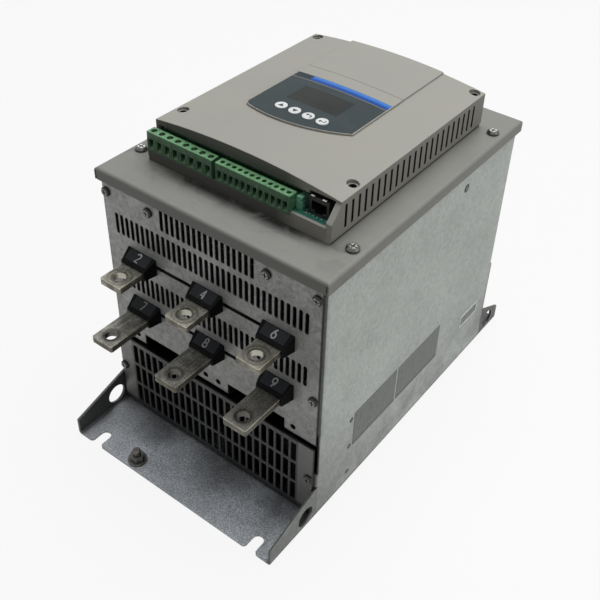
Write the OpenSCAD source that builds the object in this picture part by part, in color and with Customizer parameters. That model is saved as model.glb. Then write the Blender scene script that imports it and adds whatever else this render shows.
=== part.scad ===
// Three-phase soft starter: a folded steel chassis with slotted ends, bare terminal bars in
// insulating bushings, a finned heat sink with thyristor modules and fans, and a moulded control unit.
// It lies on its mounting base: +Z is the front of the unit, -Y the load end and +Y the line end.

/* [Chassis] */
// Width over the two side walls
chassis_w = 200; // [190:1:220]
// Length over both mounting flanges
flange_l = 340; // [330:1:370]
// Height from the mounting face to the top of the lid
body_h = 230; // [226:1:250]
// Depth of the open apron at the load end
load_apron = 53.5; // [50:0.5:60]
// Depth of the open apron at the line end
line_apron = 31.5; // [31:0.5:40]
// Thickness of the folded chassis sheet
chassis_t = 2; // [1.5:0.1:2.4]
// Outside radius of the chassis folds
fold_r = 3; // [2.6:0.1:4]
// Width of the upright return flanges behind the end panels
return_w = 12.5; // [11:0.5:13]
// Width of the flanges that carry the lid
top_return_w = 16; // [14:0.5:20]
// Height at which the upright return flanges start
return_z = 88; // [84:1:95]
// Height of a wing where it leaves the body
wing_root_h = 33; // [31:0.5:34]
// Height of a wing at the end of the flange
wing_tip_h = 16; // [12:0.5:20]
// Diameter of the hole through each wing
wing_hole_d = 17; // [10:0.5:18]
// Height of the wing holes
wing_hole_z = 13; // [12:0.5:14]
// Distance of the wing holes from the body
wing_hole_in = 14; // [12:0.5:16]
// Width of the open mounting slots
slot_w = 9; // [6:0.5:11]
// Radius of the corners at the mouth of a slot
slot_mouth_r = 3; // [1:0.5:4]
// Spacing of the mounting slots across the base
slot_pitch_x = 160; // [150:1:170]
// Spacing of the mounting slots along the base
slot_pitch_y = 320; // [315:1:324]
// Height of the bent tabs that carry the grilles
tab_h = 14; // [12:0.5:16]

/* [Lid] */
// Thickness of the lid sheet
lid_t = 1.5; // [1:0.1:2]
// Depth of the lid's turned-down lips
lid_lip = 9.5; // [7:0.5:11]
// Outside radius of the lid's folds
lid_fold_r = 2.5; // [2.1:0.1:3]
// Gap between the lid and the walls it covers
lid_gap = 0.4; // [0.1:0.1:0.8]
// Place of the lid screws between the control unit and the side walls, as a share
lid_screw_share = 0.65; // [0.6:0.01:0.7]
// Distance of the first lid screws from the load end
lid_screw_load = 36; // [30:1:45]
// Distance of the last lid screws from the line end
lid_screw_line = 32; // [26:1:40]

/* [End panels] */
// Thickness of the end panels and grilles
panel_t = 1.5; // [1:0.1:2]
// Gap between a panel's edge and the outside of the side wall
panel_inset = 2.7; // [2.5:0.1:3.5]
// Height of the lower edge of the end panels
panel_z = 75.5; // [74:0.5:78]
// Pitch of the cooling slots
vent_pitch = 5.04; // [4.8:0.02:5.1]
// Width of a cooling slot
vent_w = 2.8; // [1.6:0.1:3.2]
// Length of a cooling slot, as a share of the room above the load bars
vent_share = 0.264; // [0.21:0.002:0.268]
// Slots in the short upper row
vents_short = 17; // [11:2:17]
// Slots in each long row
vents_long = 35; // [25:2:35]
// Height of the short row in the room above the load bars, as a share
vent_top_share = 0.733; // [0.72:0.001:0.735]
// Height of the long upper row in that room, as a share
vent_low_share = 0.396; // [0.39:0.001:0.4]
// Height of the row between the two rows of bars
vent_mid_z = 141; // [139:0.5:143]
// Width of the slits that join the bar windows
slit_w = 3; // [1:0.1:4]
// Height of the slits above the middle of the bars
slit_rise = 3.6; // [2:0.1:5]
// Distance of the end panel screws below the chassis top
screw_drop = 16.2; // [15:0.1:18]
// Height of the lower end panel screws
low_screw_z = 121.6; // [110:0.2:130]
// Distance of the panel screws from the side walls
screw_in = 6.5; // [6:0.1:7]
// Spacing of the two inner panel screws
inner_screw_pitch = 105.2; // [100:0.2:110]
// Width of the cut-outs in the lower edge of the load panel
cutout_w = 53; // [40:1:56]
// Height of the cut-outs
cutout_h = 12.5; // [10:0.5:14]
// Distance between the middles of the two cut-outs
cutout_pitch = 84.7; // [80:0.1:88]
// Outside radius where the lower tabs turn inwards
tab_fold_r = 4; // [3:0.1:5]
// Depth of the lower tabs behind the panel
tab_depth = 9; // [7:0.5:12]
// Diameter of the small holes in the lower tabs
tab_hole_d = 4.4; // [2:0.1:5]

/* [Grilles] */
// Distance of a grille's face in front of its end panel
grille_proud = 2.5; // [2:0.1:3.5]
// Gap between the base and the lower edge of a grille
grille_gap = 2.5; // [1:0.1:3]
// Columns of grille slots
grille_columns = 24; // [18:2:24]
// Rows of grille slots
grille_rows = 3; // [2:1:3]
// Pitch of the grille columns
grille_pitch = 6.92; // [6.4:0.02:7]
// Pitch of the grille rows
grille_row_pitch = 21.9; // [20:0.1:22.2]
// Width of a grille slot
grille_slot_w = 4.7; // [3.5:0.1:5]
// Height of a grille slot
grille_slot_h = 18.9; // [15:0.1:19.2]
// Corner radius of a grille slot
grille_slot_r = 1.2; // [0.6:0.1:1.7]
// Height of the grille screws
grille_screw_z = 42.5; // [40:0.5:44]
// Distance of the grille screws from the side walls
grille_screw_in = 6; // [5.5:0.1:7]

/* [Bars] */
// Distance between the three poles
pole_pitch = 62.8; // [58:0.1:64]
// Width of the bars
bar_w = 20; // [16:0.5:22]
// Thickness of the bars
bar_t = 5; // [4:0.1:6]
// Corner radius at the end of a bar
bar_tip_r = 1.5; // [1:0.1:3]
// Height of the middle of the load and line bars
load_bar_z = 161.8; // [159:0.2:164]
// Height of the middle of the bypass bars
bypass_bar_z = 116; // [115:0.2:118]
// Reach of the load bars beyond the load panel
load_reach = 32.6; // [28:0.1:33]
// Reach of the bypass bars beyond the load panel
bypass_reach = 46.9; // [46:0.1:50]
// Reach of the line bars beyond the line panel
line_reach = 30.5; // [26:0.5:31]
// Diameter of the holes in the load and line bars
load_hole_d = 9.5; // [8:0.1:11]
// Diameter of the holes in the bypass bars
bypass_hole_d = 9; // [8:0.1:11]
// Distance of a bar's hole from its end
hole_in = 9.5; // [8.5:0.1:11]
// Diameter of the bolt hole in the foot of a bar
foot_hole_d = 6.5; // [5:0.1:7]

/* [Insulators] */
// Width of a bushing at the panel
bushing_w = 27.5; // [27:0.1:30]
// Height of a bushing above the middle of its bar, at the panel
bushing_rise = 10; // [9:0.1:10.5]
// Depth of a bushing in front of the panel
bushing_d = 10.5; // [8:0.1:12]
// Width of a bushing at its nose
nose_w = 22.8; // [22.6:0.1:25]
// Height of a bushing's nose above the middle of its bar
nose_rise = 4; // [3.8:0.1:5]
// Width of the neck that fills the panel window
neck_w = 24; // [23.5:0.1:25]
// Height of the neck above the middle of its bar
neck_rise = 7.5; // [6:0.1:8]
// Skin of a bushing under its bar
bushing_skin = 0.6; // [0.5:0.1:1]
// Overlap of a bushing's lower edge over the panel window
bushing_lip = 0.4; // [0.3:0.1:0.8]
// Depth of the collar behind the panel
collar_d = 6; // [4:0.1:8]
// Gap round the bars and round the necks
fit_gap = 0.15; // [0.1:0.05:0.3]

/* [Power stage] */
// Height of the heat sink's top face
sink_top_z = 102; // [100:0.5:104]
// Thickness of the heat sink's plate
sink_plate = 10; // [8:0.5:12]
// Gap between the heat sink and the side walls
sink_side_gap = 12; // [10:0.5:16]
// Distance of the heat sink behind the load panel
sink_load_in = 30; // [29:0.5:34]
// Distance of the heat sink from the line panel
sink_line_in = 18; // [14:0.5:30]
// Thickness of a fin
fin_t = 2; // [1.5:0.1:3]
// Pitch of the fins
fin_pitch = 7.4; // [6:0.1:9]
// Gap under the fins
fin_gap = 4; // [2:0.5:8]
// Thickness of the legs that stand on the base
leg_t = 3; // [2:0.1:4]
// Width of a thyristor module
module_w = 34; // [30:0.5:38]
// Length of a thyristor module
module_l = 94; // [90:0.5:100]
// Height of a thyristor module
module_h = 30; // [28:0.5:32]
// Distance of the modules behind the load panel
module_in = 57; // [55:0.5:60]
// Distance of a module's end terminals from its ends
terminal_in = 14; // [12:0.5:16]
// Width of a current transformer
ct_w = 44; // [38:0.5:48]
// Height of a current transformer, as a share of the room above the load bars
ct_share = 0.57; // [0.52:0.01:0.6]
// Depth of a current transformer
ct_d = 20; // [16:0.5:22]
// Distance of the transformers behind the load panel
ct_in = 11; // [9:0.5:12]
// Distance of the load bars' drop behind the load panel
load_drop_in = 41; // [40:0.5:44]
// Distance of the bypass bars' rise behind the load panel
bypass_rise_in = 32; // [30:0.5:34]
// Distance of the line bars' drop from the line panel
line_drop_in = 36; // [30:0.5:50]

/* [Fans] */
// Side of the square fan frame
fan_size = 70; // [60:0.5:70]
// Depth of the fan frame
fan_depth = 25; // [22:0.5:26]
// Distance between the two fans
fan_pitch_x = 90; // [84:0.5:92]
// Wall of the fan frame beside its bore
fan_wall = 2; // [1.5:0.1:3]
// Tip clearance of the blades
fan_tip_gap = 1; // [0.6:0.1:2]
// Diameter of the fan hub
fan_hub_d = 27; // [24:0.5:32]
// Blades of a fan
fan_blades = 7; // [5:1:9]
// Pitch angle of the blades
blade_angle = 35; // [25:1:45]
// Thickness of a blade
blade_t = 1.6; // [1.2:0.1:2]
// Diameter of the fan spindle
spindle_d = 3; // [2:0.1:4]
// Radial play of the spindle
spindle_play = 0.05; // [0.02:0.01:0.1]

/* [Boards] */
// Width of the tray under the lid
tray_w = 140; // [130:1:150]
// Height of the tray between the transformers and its screws, as a share
tray_share = 0.58; // [0.5:0.01:0.6]
// Width of the arms of the tray
arm_w = 13; // [11:0.5:14]
// Thickness of the circuit boards
board_t = 1.6; // [1:0.1:2]
// Height of the posts under the firing board
post_h = 5; // [4:0.5:8]

/* [Control unit] */
// Width of the control unit
housing_w = 160; // [156:1:170]
// Height of its side walls above the lid
housing_h = 28; // [26:0.5:30]
// Distance of its front from the load end
housing_in = 30.2; // [26:0.2:34]
// Length of the control unit
housing_l = 196.3; // [190:0.1:200]
// Depth of the open ledge for the plugs
ledge_d = 9.8; // [9:0.1:11]
// Height of the sloped cheek's foot above the lid
cheek_h = 15.3; // [14:0.1:17]
// Thickness of the cheek beside the socket
cheek_t = 4.5; // [3.6:0.1:5]
// Drop of the cheek's upper end below the top's edge
cheek_drop = 2.2; // [1:0.1:4]
// Height of the front wall above the lid
front_wall_h = 11.3; // [10.5:0.1:12]
// Rise of the crowned top
crown_rise = 5.6; // [4.5:0.1:6.5]
// Wall of the control unit
housing_wall = 3; // [2.5:0.1:3.5]
// Thickness of the base moulding
base_t = 3; // [2.5:0.1:3.5]
// Inset of the base under the cover
base_inset = 0.6; // [0.2:0.1:1]
// Gap between the base's uprights and the cover's walls
cover_gap = 0.2; // [0.1:0.05:0.4]
// Thickness of the front wall
front_wall_t = 2.5; // [2:0.1:3]
// Height of the fascia's lower edge above the lid
fascia_z = 24.5; // [24:0.1:25]
// Side vents of the cover
side_vents = 23; // [15:1:23]
// Distance of the last side vent from the back
side_vent_out = 16; // [14:0.1:18]
// Width of a side vent
side_vent_w = 2.5; // [1.2:0.1:3]
// Height of a side vent
side_vent_h = 18; // [14:0.5:19]
// Height of the side vents' lower ends above the lid
side_vent_z = 6; // [5:0.1:7]
// Distance of the first side vent behind the front
side_vent_in = 15.3; // [14:0.1:17]
// Diameter of the shallow recess round each corner well
well_d = 8.8; // [8:0.1:9]
// Depth of that recess
well_step = 2; // [1:0.1:3]
// Diameter of the bosses round the wells
boss_d = 10.4; // [10:0.1:11]
// Distance of the corner wells from the sides
well_in_x = 6.4; // [6:0.1:8]
// Distance of the front wells behind the front
well_in_front = 30.7; // [28:0.1:34]
// Distance of the back wells from the back
well_in_back = 5.4; // [5.3:0.1:7]
// Height of the bottom of the wells above the lid
well_floor = 13; // [11.5:0.1:15]
// Room beside the control board
board_room = 1.2; // [0.8:0.1:2]
// Height of the control board's top above the lid
control_board_z = 10.5; // [9:0.1:10.7]

/* [Keypad] */
// Width of the raised band
band_w = 85.5; // [84:0.5:90]
// Height of the raised band above the crown
band_step = 1.4; // [1:0.1:2]
// Depth of the bezel behind the slate overlay
bezel_head = 13.4; // [10:0.1:16]
// Depth of the slate overlay behind the display
overlay_head = 16.35; // [14:0.05:18]
// Radius of the bezel's front edge
arc_r = 88.1; // [86:0.1:92]
// Sideways offset of the front edge's centre
arc_x = -10.8; // [-12:0.1:-9]
// Distance of the front edge's lowest point behind the front
arc_in = 56; // [52:0.1:60]
// Radius of the bezel's rounded corner
bezel_corner_r = 7; // [5:0.1:9]
// Border of the bezel round the overlay
bezel_border = 0.75; // [0.5:0.05:1.2]
// Thickness of the overlay and the window
overlay_t = 0.8; // [0.6:0.1:1]
// Width of the display window
display_w = 44; // [40:0.5:48]
// Height of the display window
display_h = 23.3; // [20:0.1:24]
// Distance of the display's middle behind the front
display_in = 96.5; // [95:0.1:98]
// Sideways place of the display's middle
display_x = -1; // [-3:0.1:3]
// Diameter of the keys
key_d = 9.2; // [8:0.1:9.6]
// Pitch of the keys
key_pitch = 12; // [11.6:0.1:12.4]
// Distance of the keys behind the front
key_in = 72.5; // [71:0.1:74]
// Travel of a key
key_travel = 0.5; // [0.3:0.1:0.7]
// Gap round the keys
key_gap = 0.3; // [0.2:0.05:0.4]
// Height of a key above the crest of the band
key_proud = 0.2; // [0.1:0.05:0.4]

/* [Plugs] */
// Ways of the relay plug
relay_ways = 8; // [4:1:8]
// Pitch of the relay plug
relay_pitch = 7.5; // [7:0.1:7.6]
// Ways of the control plug
control_ways = 12; // [6:1:12]
// Pitch of the control plug
control_pitch = 5.08; // [5:0.02:5.2]
// Wall at the ends of the control plug
control_end = 1; // [0.6:0.1:1.2]
// Distance of the relay plug from the left side
relay_in = 0.6; // [0.4:0.1:1]
// Gap between the two plugs
plug_gap = 3.2; // [2:0.1:4]
// Height of the plugs' top above the lid
plug_top = 23.2; // [22.4:0.1:23.6]
// Clearance between the plugs and the walls below them
plug_lift = 0.2; // [0.1:0.05:0.3]
// Drop of the plugs' front skirt
skirt_drop = 3; // [2:0.1:3.4]
// Depth of the plugs' screw strip
plug_d = 7.6; // [7:0.1:8]
// Depth of the plugs behind the screw strip
plug_tail = 7; // [6:0.1:8]
// Reach of the control plug's header past the plug
header_end = 4; // [1:0.1:5]
// Height of the wire entries
entry_h = 5.2; // [4:0.1:6]
// Width of the network socket
socket_w = 16; // [14:0.1:16.5]
// Height of the network socket
socket_h = 13.5; // [12:0.1:14]
// Distance of the network socket from the right side
socket_in = 8.5; // [8:0.1:9]

/* [Fasteners] */
// Thread diameter of the panel screws
panel_screw_d = 4; // [3:0.1:4.5]
// Thread diameter of the lid screws
lid_screw_d = 5; // [4:0.1:5.5]
// Thread diameter of the cover screws
cover_screw_d = 2.5; // [2.2:0.1:3]
// Length of the panel screws under the head
panel_screw_l = 6; // [5:0.5:8]
// Length of the lid screws under the head
lid_screw_l = 8; // [6:0.5:10]
// Length of the cover screws under the head
cover_screw_l = 10; // [8:0.5:12]
// Play of a screw in its hole
screw_play = 0.2; // [0.1:0.05:0.3]
// Width of a pan head, as a multiple of its thread
head_over = 1.9; // [1.7:0.05:2]
// Diameter of the earth stud
stud_d = 6; // [5:0.1:8]
// Height of the earth stud above the mounting face
stud_h = 14; // [13:0.5:18]
// Place of the earth stud across the base
stud_x = -42; // [-60:1:-30]
// Distance of the earth stud from the edge of the flange
stud_in = 8.5; // [8:0.5:12]
// Diameter of the earth washer
washer_d = 15; // [12:0.5:16]
// Thickness of the earth washer
washer_t = 1.5; // [1:0.1:2]
// Width of the earth nut across its flats
nut_af = 10; // [9:0.5:13]
// Height of the earth nut
nut_h = 5; // [4:0.1:5.5]

/* [Hidden] */
$fn = 48;
eps = 0.01;
far = 500;
crown_fn = 720;

half_w = chassis_w / 2;
load_y = -flange_l / 2 + load_apron;
line_y = flange_l / 2 - line_apron;
load_in_y = load_y + panel_t;
line_in_y = line_y - panel_t;
top_z = body_h - lid_t;
panel_half_w = half_w - panel_inset;
neck_drop = bar_t / 2 + fit_gap + bushing_skin;
bushing_drop = neck_drop + fit_gap + bushing_lip;
panel_top_z = top_z - (lid_fold_r - lid_t);
grille_z = chassis_t + grille_gap;
load_grille_y = load_y - grille_proud;
line_grille_y = line_y + grille_proud;
bar_room = top_z - load_bar_z;
vent_l = vent_share * bar_room;
vent_top_z = load_bar_z + vent_top_share * bar_room;
vent_low_z = load_bar_z + vent_low_share * bar_room;
lid_screw_x = housing_w / 2 + lid_screw_share * (half_w - housing_w / 2);
screw_z = top_z - screw_drop;
pole_x = [for (i = [-1:1]) i * pole_pitch];

module_top_z = sink_top_z + module_h;
module_load_y = load_y + module_in;
load_terminal_y = module_load_y + terminal_in;
line_terminal_y = module_load_y + module_l - terminal_in;
foot_over = bar_w / 2;
bypass_foot_z = module_top_z + bar_t / 2;
load_foot_z = bypass_foot_z + bar_t;
sink_half_w = half_w - chassis_t - sink_side_gap;
ct_h = ct_share * bar_room;
ct_top_z = load_bar_z + ct_h / 2;
tray_z = ct_top_z + tray_share * (screw_z - ct_top_z);
tray_t = 1.5;
post_inset = 8;
arm_l = 12;
firing_board_z = tray_z + tray_t + post_h;
control_board_l = 0.591 * housing_l;

fan_z = grille_z + fan_size / 2 + 0.3;
fan_y = load_grille_y + panel_t;
fan_bore_r = fan_size / 2 - fan_wall;
fan_spider_t = 3;
fan_hub_y = fan_y + 2;
fan_hub_l = fan_depth - fan_spider_t - 4;
fan_bearing_d = 9;

house_y = load_y + housing_in;
house_back_y = house_y + housing_l;
fascia_y = house_y + ledge_d;
house_half_w = housing_w / 2;
edge_z = body_h + housing_h;
crown_r = (house_half_w * house_half_w + crown_rise * crown_rise) / (2 * crown_rise);
crown_z = edge_z + crown_rise - crown_r;
crest_z = edge_z + crown_rise + band_step;
cover_z = body_h + base_t;
well_x = house_half_w - well_in_x;
well_ys = [house_y + well_in_front, house_back_y - well_in_back];
well_top_z = crown_z + sqrt(crown_r * crown_r - well_x * well_x);
well_bore = head_over * cover_screw_d + 2 * screw_play;
board_top_z = body_h + control_board_z;
socket_x1 = house_half_w - socket_in;
socket_x0 = socket_x1 - socket_w;
seat_z = edge_z + 1;
seat_t = 2.5;
seat_margin = 4;
arc_y = house_y + arc_in + arc_r;
display_y = house_y + display_in;
overlay_y1 = display_y + display_h / 2 + overlay_head;
bezel_y1 = overlay_y1 + bezel_head;
key_y = house_y + key_in;
key_xs = [for (i = [-1.5:1:1.5]) i * key_pitch];
key_flange_d = key_d + 2.2;
key_flange_t = 0.95;
key_rest_gap = 0.15;
display_ledge = 1;
keypad_board_z = seat_z - seat_t;

relay_w = relay_ways * relay_pitch;
relay_x = -house_half_w + relay_in;
control_w = control_ways * control_pitch + 2 * control_end;
control_x = relay_x + relay_w + plug_gap;
plug_z = body_h + front_wall_h + plug_lift;
skirt_z = plug_z - skirt_drop;
skirt_y1 = house_y + front_wall_t;
lead_in = skirt_drop - 0.6;
notch_z = skirt_z - plug_lift;
plug_top_z = body_h + plug_top;
plug_tail_z = plug_top_z - 3.5;
plug_y = house_y - 0.3;
plug_tail_y = plug_y + plug_d + plug_tail;
tail_left_x = -house_half_w + housing_wall + 0.3;
screw_well_h = 4.5;
terminal_screw_h = 2.8;

// Shared shapes

// A flat outline in X and Z, made into a sheet that starts at y
module upright(y, t) {
    translate([0, y + t, 0]) rotate([90, 0, 0]) linear_extrude(height = t) children();
}

// A side outline in Y and Z, drawn across the unit from x
module across(x, w) {
    translate([x, 0, 0]) rotate([90, 0, 90]) linear_extrude(height = w) children();
}

// A round rod or hole along Y from y0 to y1
module rod_y(x, z, d, y0, y1) {
    translate([x, y0, z]) rotate([-90, 0, 0]) cylinder(d = d, h = y1 - y0);
}

// A box from its low corner to its high corner
module block(low, high) {
    translate(low) cube(high - low);
}

// A rectangle with round corners, from its low corner
module round_rect(low, size, r) {
    translate(low + [r, 0]) square(size - [2 * r, 0]);
    translate(low + [0, r]) square(size - [0, 2 * r]);
    for (x = [r, size[0] - r], y = [r, size[1] - r]) translate(low + [x, y]) circle(r = r);
}

// An upright slot with round ends, about its middle
module slot_2d(w, l) {
    square([w, l - w], center = true);
    for (s = [-1, 1]) translate([0, s * (l - w) / 2]) circle(d = w, $fn = 24);
}

// A row of upright cooling slots about the middle of the unit
module vent_row(count, z) {
    for (i = [0:count - 1]) translate([(i - (count - 1) / 2) * vent_pitch, z]) slot_2d(vent_w, vent_l);
}

// A bar's side outline through its corners, with round bends
module strip_2d(points, t) {
    for (i = [0:len(points) - 2]) {
        step = points[i + 1] - points[i];
        translate(points[i]) rotate(atan2(step[1], step[0])) translate([0, -t / 2]) square([norm(step), t]);
    }
    for (i = [1:len(points) - 2]) translate(points[i]) circle(d = t);
}

// A pan head screw with a cross recess, its head on z = 0 and its shank pointing down
module pan_screw(d, l) {
    head_r = head_over * d / 2;
    head_h = 0.6 * d;
    difference() {
        union() {
            rotate_extrude() polygon([[0, 0], [head_r, 0], [head_r, head_h * 0.55], [head_r * 0.72, head_h],
                [0, head_h]]);
            translate([0, 0, -l]) cylinder(d = d, h = l + eps);
        }
        for (a = [0, 90]) rotate(a) translate([-0.55 * d, -0.1 * d, head_h * 0.4])
            cube([1.1 * d, 0.2 * d, head_h]);
    }
}

// Chassis

// Side outline of the chassis below the return flanges, with its wings
module wing_outline() {
    polygon([[-flange_l / 2, 0], [-flange_l / 2, wing_tip_h], [load_in_y, wing_root_h], [load_in_y, return_z],
        [line_in_y, return_z], [line_in_y, wing_root_h], [flange_l / 2, wing_tip_h], [flange_l / 2, 0]]);
}

// Cross-section of the folded base and side walls
module channel_2d() {
    difference() {
        round_rect([-half_w, 0], [chassis_w, return_z + far], fold_r);
        round_rect([-half_w + chassis_t, chassis_t], [chassis_w - 2 * chassis_t, return_z + far],
            fold_r - chassis_t);
    }
}

// Plan of the two walls with their turned-in ends, between two end faces
module wall_plan(y0, y1, inner_x) {
    difference() {
        round_rect([-half_w, y0], [chassis_w, y1 - y0], fold_r);
        round_rect([-half_w + chassis_t, y0 + chassis_t],
            [chassis_w - 2 * chassis_t, y1 - y0 - 2 * chassis_t], fold_r - chassis_t);
        translate([-inner_x, y0 - 1]) square([2 * inner_x, y1 - y0 + 2]);
    }
}

// The bent tabs that carry the grille screws
module grille_tabs() {
    tab_z = wing_root_h + 1;
    y0 = load_grille_y + panel_t;
    y1 = line_grille_y - panel_t;
    translate([0, 0, tab_z]) linear_extrude(height = tab_h) difference() {
        wall_plan(y0, y1, half_w - chassis_t - return_w);
        translate([-far / 2, load_in_y + fold_r]) square([far, line_in_y - load_in_y - 2 * fold_r]);
    }
}

// Outline of one open slot, its round end at the origin and its mouth at y = reach
module open_slot_2d(reach) {
    r = slot_mouth_r;
    circle(d = slot_w);
    translate([-slot_w / 2, 0]) square([slot_w, reach + 1]);
    difference() {
        translate([-slot_w / 2 - r, reach - r]) square([slot_w + 2 * r, r + 1]);
        for (s = [-1, 1]) translate([s * (slot_w / 2 + r), reach - r]) circle(r = r);
    }
}

// Open mounting slots at the four corners of the base
module mounting_slots() {
    for (sx = [-1, 1], turn = [0, 180]) rotate(turn) translate([sx * slot_pitch_x / 2, slot_pitch_y / 2, -1])
        linear_extrude(height = chassis_t + 2) open_slot_2d((flange_l - slot_pitch_y) / 2);
}

// Round holes for the panel screws, grille screws and lid screws
module chassis_holes() {
    hole_d = panel_screw_d + 2 * screw_play;
    for (s = [-1, 1]) {
        for (z = [screw_z, low_screw_z]) rod_y(s * (half_w - screw_in), z, hole_d, -flange_l, flange_l);
        rod_y(s * (half_w - grille_screw_in), grille_screw_z, hole_d, -flange_l, flange_l);
        for (y = [load_y + lid_screw_load, line_y - lid_screw_line])
            translate([s * lid_screw_x, y, body_h - lid_screw_l - 1])
                cylinder(d = lid_screw_d + 2 * screw_play, h = lid_screw_l + 2);
    }
    for (y = [load_in_y - wing_hole_in, line_in_y + wing_hole_in])
        translate([-far / 2, y, wing_hole_z]) rotate([0, 90, 0]) cylinder(d = wing_hole_d, h = far);
    translate([stud_x, -flange_l / 2 + stud_in, -1]) cylinder(d = stud_d, h = chassis_t + 2);
}

module chassis() color("darkgray") difference() {
    union() {
        intersection() {
            translate([0, flange_l / 2, 0]) rotate([90, 0, 0]) linear_extrude(height = flange_l) channel_2d();
            across(-half_w, chassis_w) wing_outline();
        }
        intersection() {
            union() {
                translate([0, 0, return_z - eps]) linear_extrude(height = top_z - return_z + eps)
                    wall_plan(load_in_y, line_in_y, half_w - return_w);
                for (x = [-half_w + chassis_t / 2, half_w - top_return_w])
                    translate([x, load_in_y + fold_r, top_z - chassis_t])
                        cube([top_return_w - chassis_t / 2, line_in_y - load_in_y - 2 * fold_r, chassis_t]);
            }
            translate([0, line_in_y + 1, 0]) rotate([90, 0, 0])
                linear_extrude(height = line_in_y - load_in_y + 2)
                    round_top([-half_w, 0], [chassis_w, top_z], fold_r);
        }
        grille_tabs();
    }
    mounting_slots();
    chassis_holes();
}

// Lid

// The lid's outer block with rounded folds, drawn in by an inset
module lid_form(inset, r, z0) {
    x = half_w + lid_gap + lid_t - inset;
    y0 = load_y - lid_gap / 4 - lid_t + inset;
    y1 = line_y + lid_gap / 4 + lid_t - inset;
    z1 = body_h - inset;
    intersection() {
        translate([0, y1, 0]) rotate([90, 0, 0]) linear_extrude(height = y1 - y0)
            round_top([-x, z0], [2 * x, z1 - z0], r);
        across(-x, 2 * x) round_top([y0, z0], [y1 - y0, z1 - z0], r);
    }
}

// A rectangle with its two upper corners rounded
module round_top(low, size, r) {
    translate(low) square(size - [0, r]);
    translate(low + [r, 0]) square(size - [2 * r, 0]);
    for (x = [r, size[0] - r]) translate(low + [x, size[1] - r]) circle(r = r);
}

module lid() color("gray") {
    slit = 0.8;
    corner_x = half_w + lid_gap;
    cable_window = [60, 40];
    difference() {
        lid_form(0, lid_fold_r, body_h - lid_lip);
        lid_form(lid_t, lid_fold_r - lid_t, body_h - 2 * lid_lip);
        for (s = [-1, 1], y = [load_y - 2 * lid_t, line_y - lid_t])
            translate([s * corner_x - slit / 2, y, body_h - 2 * lid_lip])
                cube([slit, 3 * lid_t, 2 * lid_lip - lid_fold_r]);
        for (s = [-1, 1], y = [load_y + lid_screw_load, line_y - lid_screw_line])
            translate([s * lid_screw_x, y, top_z - 1])
                cylinder(d = lid_screw_d + 2 * screw_play, h = 2 * lid_t + 2);
        translate([-cable_window[0] / 2, house_y + housing_l / 2, top_z - 1])
            cube([cable_window[0], cable_window[1], lid_t + 2]);
    }
}

// End panels and grilles

// Windows for the three necks of one row of bars, and the slits that join them
module bar_windows(z) {
    w = neck_w + 2 * fit_gap;
    h = neck_drop + neck_rise + 2 * fit_gap;
    for (x = pole_x) translate([x - w / 2, z - neck_drop - fit_gap]) square([w, h]);
    translate([-pole_pitch, z + slit_rise - slit_w / 2]) square([2 * pole_pitch, slit_w]);
}

// Holes for the outer screws and for the two screws of the board tray
module panel_screw_holes() {
    d = panel_screw_d + 2 * screw_play;
    for (s = [-1, 1]) {
        for (z = [screw_z, low_screw_z]) translate([s * (half_w - screw_in), z]) circle(d = d);
        translate([s * inner_screw_pitch / 2, screw_z]) circle(d = d);
    }
}

// Every opening of an end panel: cooling slots, screw holes, and windows at the given bar heights
module panel_openings(bar_heights) {
    vent_row(vents_short, vent_top_z);
    vent_row(vents_long, vent_low_z);
    vent_row(vents_long, vent_mid_z);
    for (z = bar_heights) bar_windows(z);
    panel_screw_holes();
}

// Side outline of the load panel, which turns inwards at its lower edge
module folded_panel_2d() {
    intersection() {
        translate([load_y, panel_z]) square([tab_depth, panel_top_z - panel_z]);
        difference() {
            round_rect([load_y, panel_z], [far, far], tab_fold_r);
            round_rect([load_in_y, panel_z + panel_t], [far, far], tab_fold_r - panel_t);
        }
    }
}

module load_panel() color("silver") difference() {
    across(-panel_half_w, 2 * panel_half_w) folded_panel_2d();
    upright(load_y - 1, tab_depth + 2) {
        panel_openings([load_bar_z, bypass_bar_z]);
        for (s = [-1, 1]) translate([s * cutout_pitch / 2 - cutout_w / 2, panel_z - 1])
            square([cutout_w, cutout_h + 1]);
    }
    for (s = [-1, 1], x = [(cutout_pitch - cutout_w) / 2 - 9.6, (cutout_pitch + cutout_w) / 2 + 7.9])
        rod_y(s * x, panel_z + 9, tab_hole_d, load_y - 1, load_y + tab_fold_r);
}

module line_panel() color("silver") upright(line_in_y, panel_t) difference() {
    translate([-panel_half_w, panel_z]) square([2 * panel_half_w, panel_top_z - panel_z]);
    panel_openings([load_bar_z]);
}

// Outline of a grille with its rows of slots
module grille_2d() {
    difference() {
        translate([-panel_half_w, grille_z]) square([2 * panel_half_w, panel_z - grille_z]);
        for (row = [0:grille_rows - 1], column = [0:grille_columns - 1]) {
            x = (column - (grille_columns - 1) / 2) * grille_pitch;
            z = (grille_z + panel_z) / 2 + (row - (grille_rows - 1) / 2) * grille_row_pitch;
            round_rect([x - grille_slot_w / 2, z - grille_slot_h / 2], [grille_slot_w, grille_slot_h],
                grille_slot_r);
        }
        for (s = [-1, 1]) translate([s * (half_w - grille_screw_in), grille_screw_z])
            circle(d = panel_screw_d + 2 * screw_play);
    }
}

module fan_grille() color("gray") upright(load_grille_y, panel_t) grille_2d();

module exhaust_grille() color("gray") upright(line_grille_y - panel_t, panel_t) grille_2d();

// Bars and insulators

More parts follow.
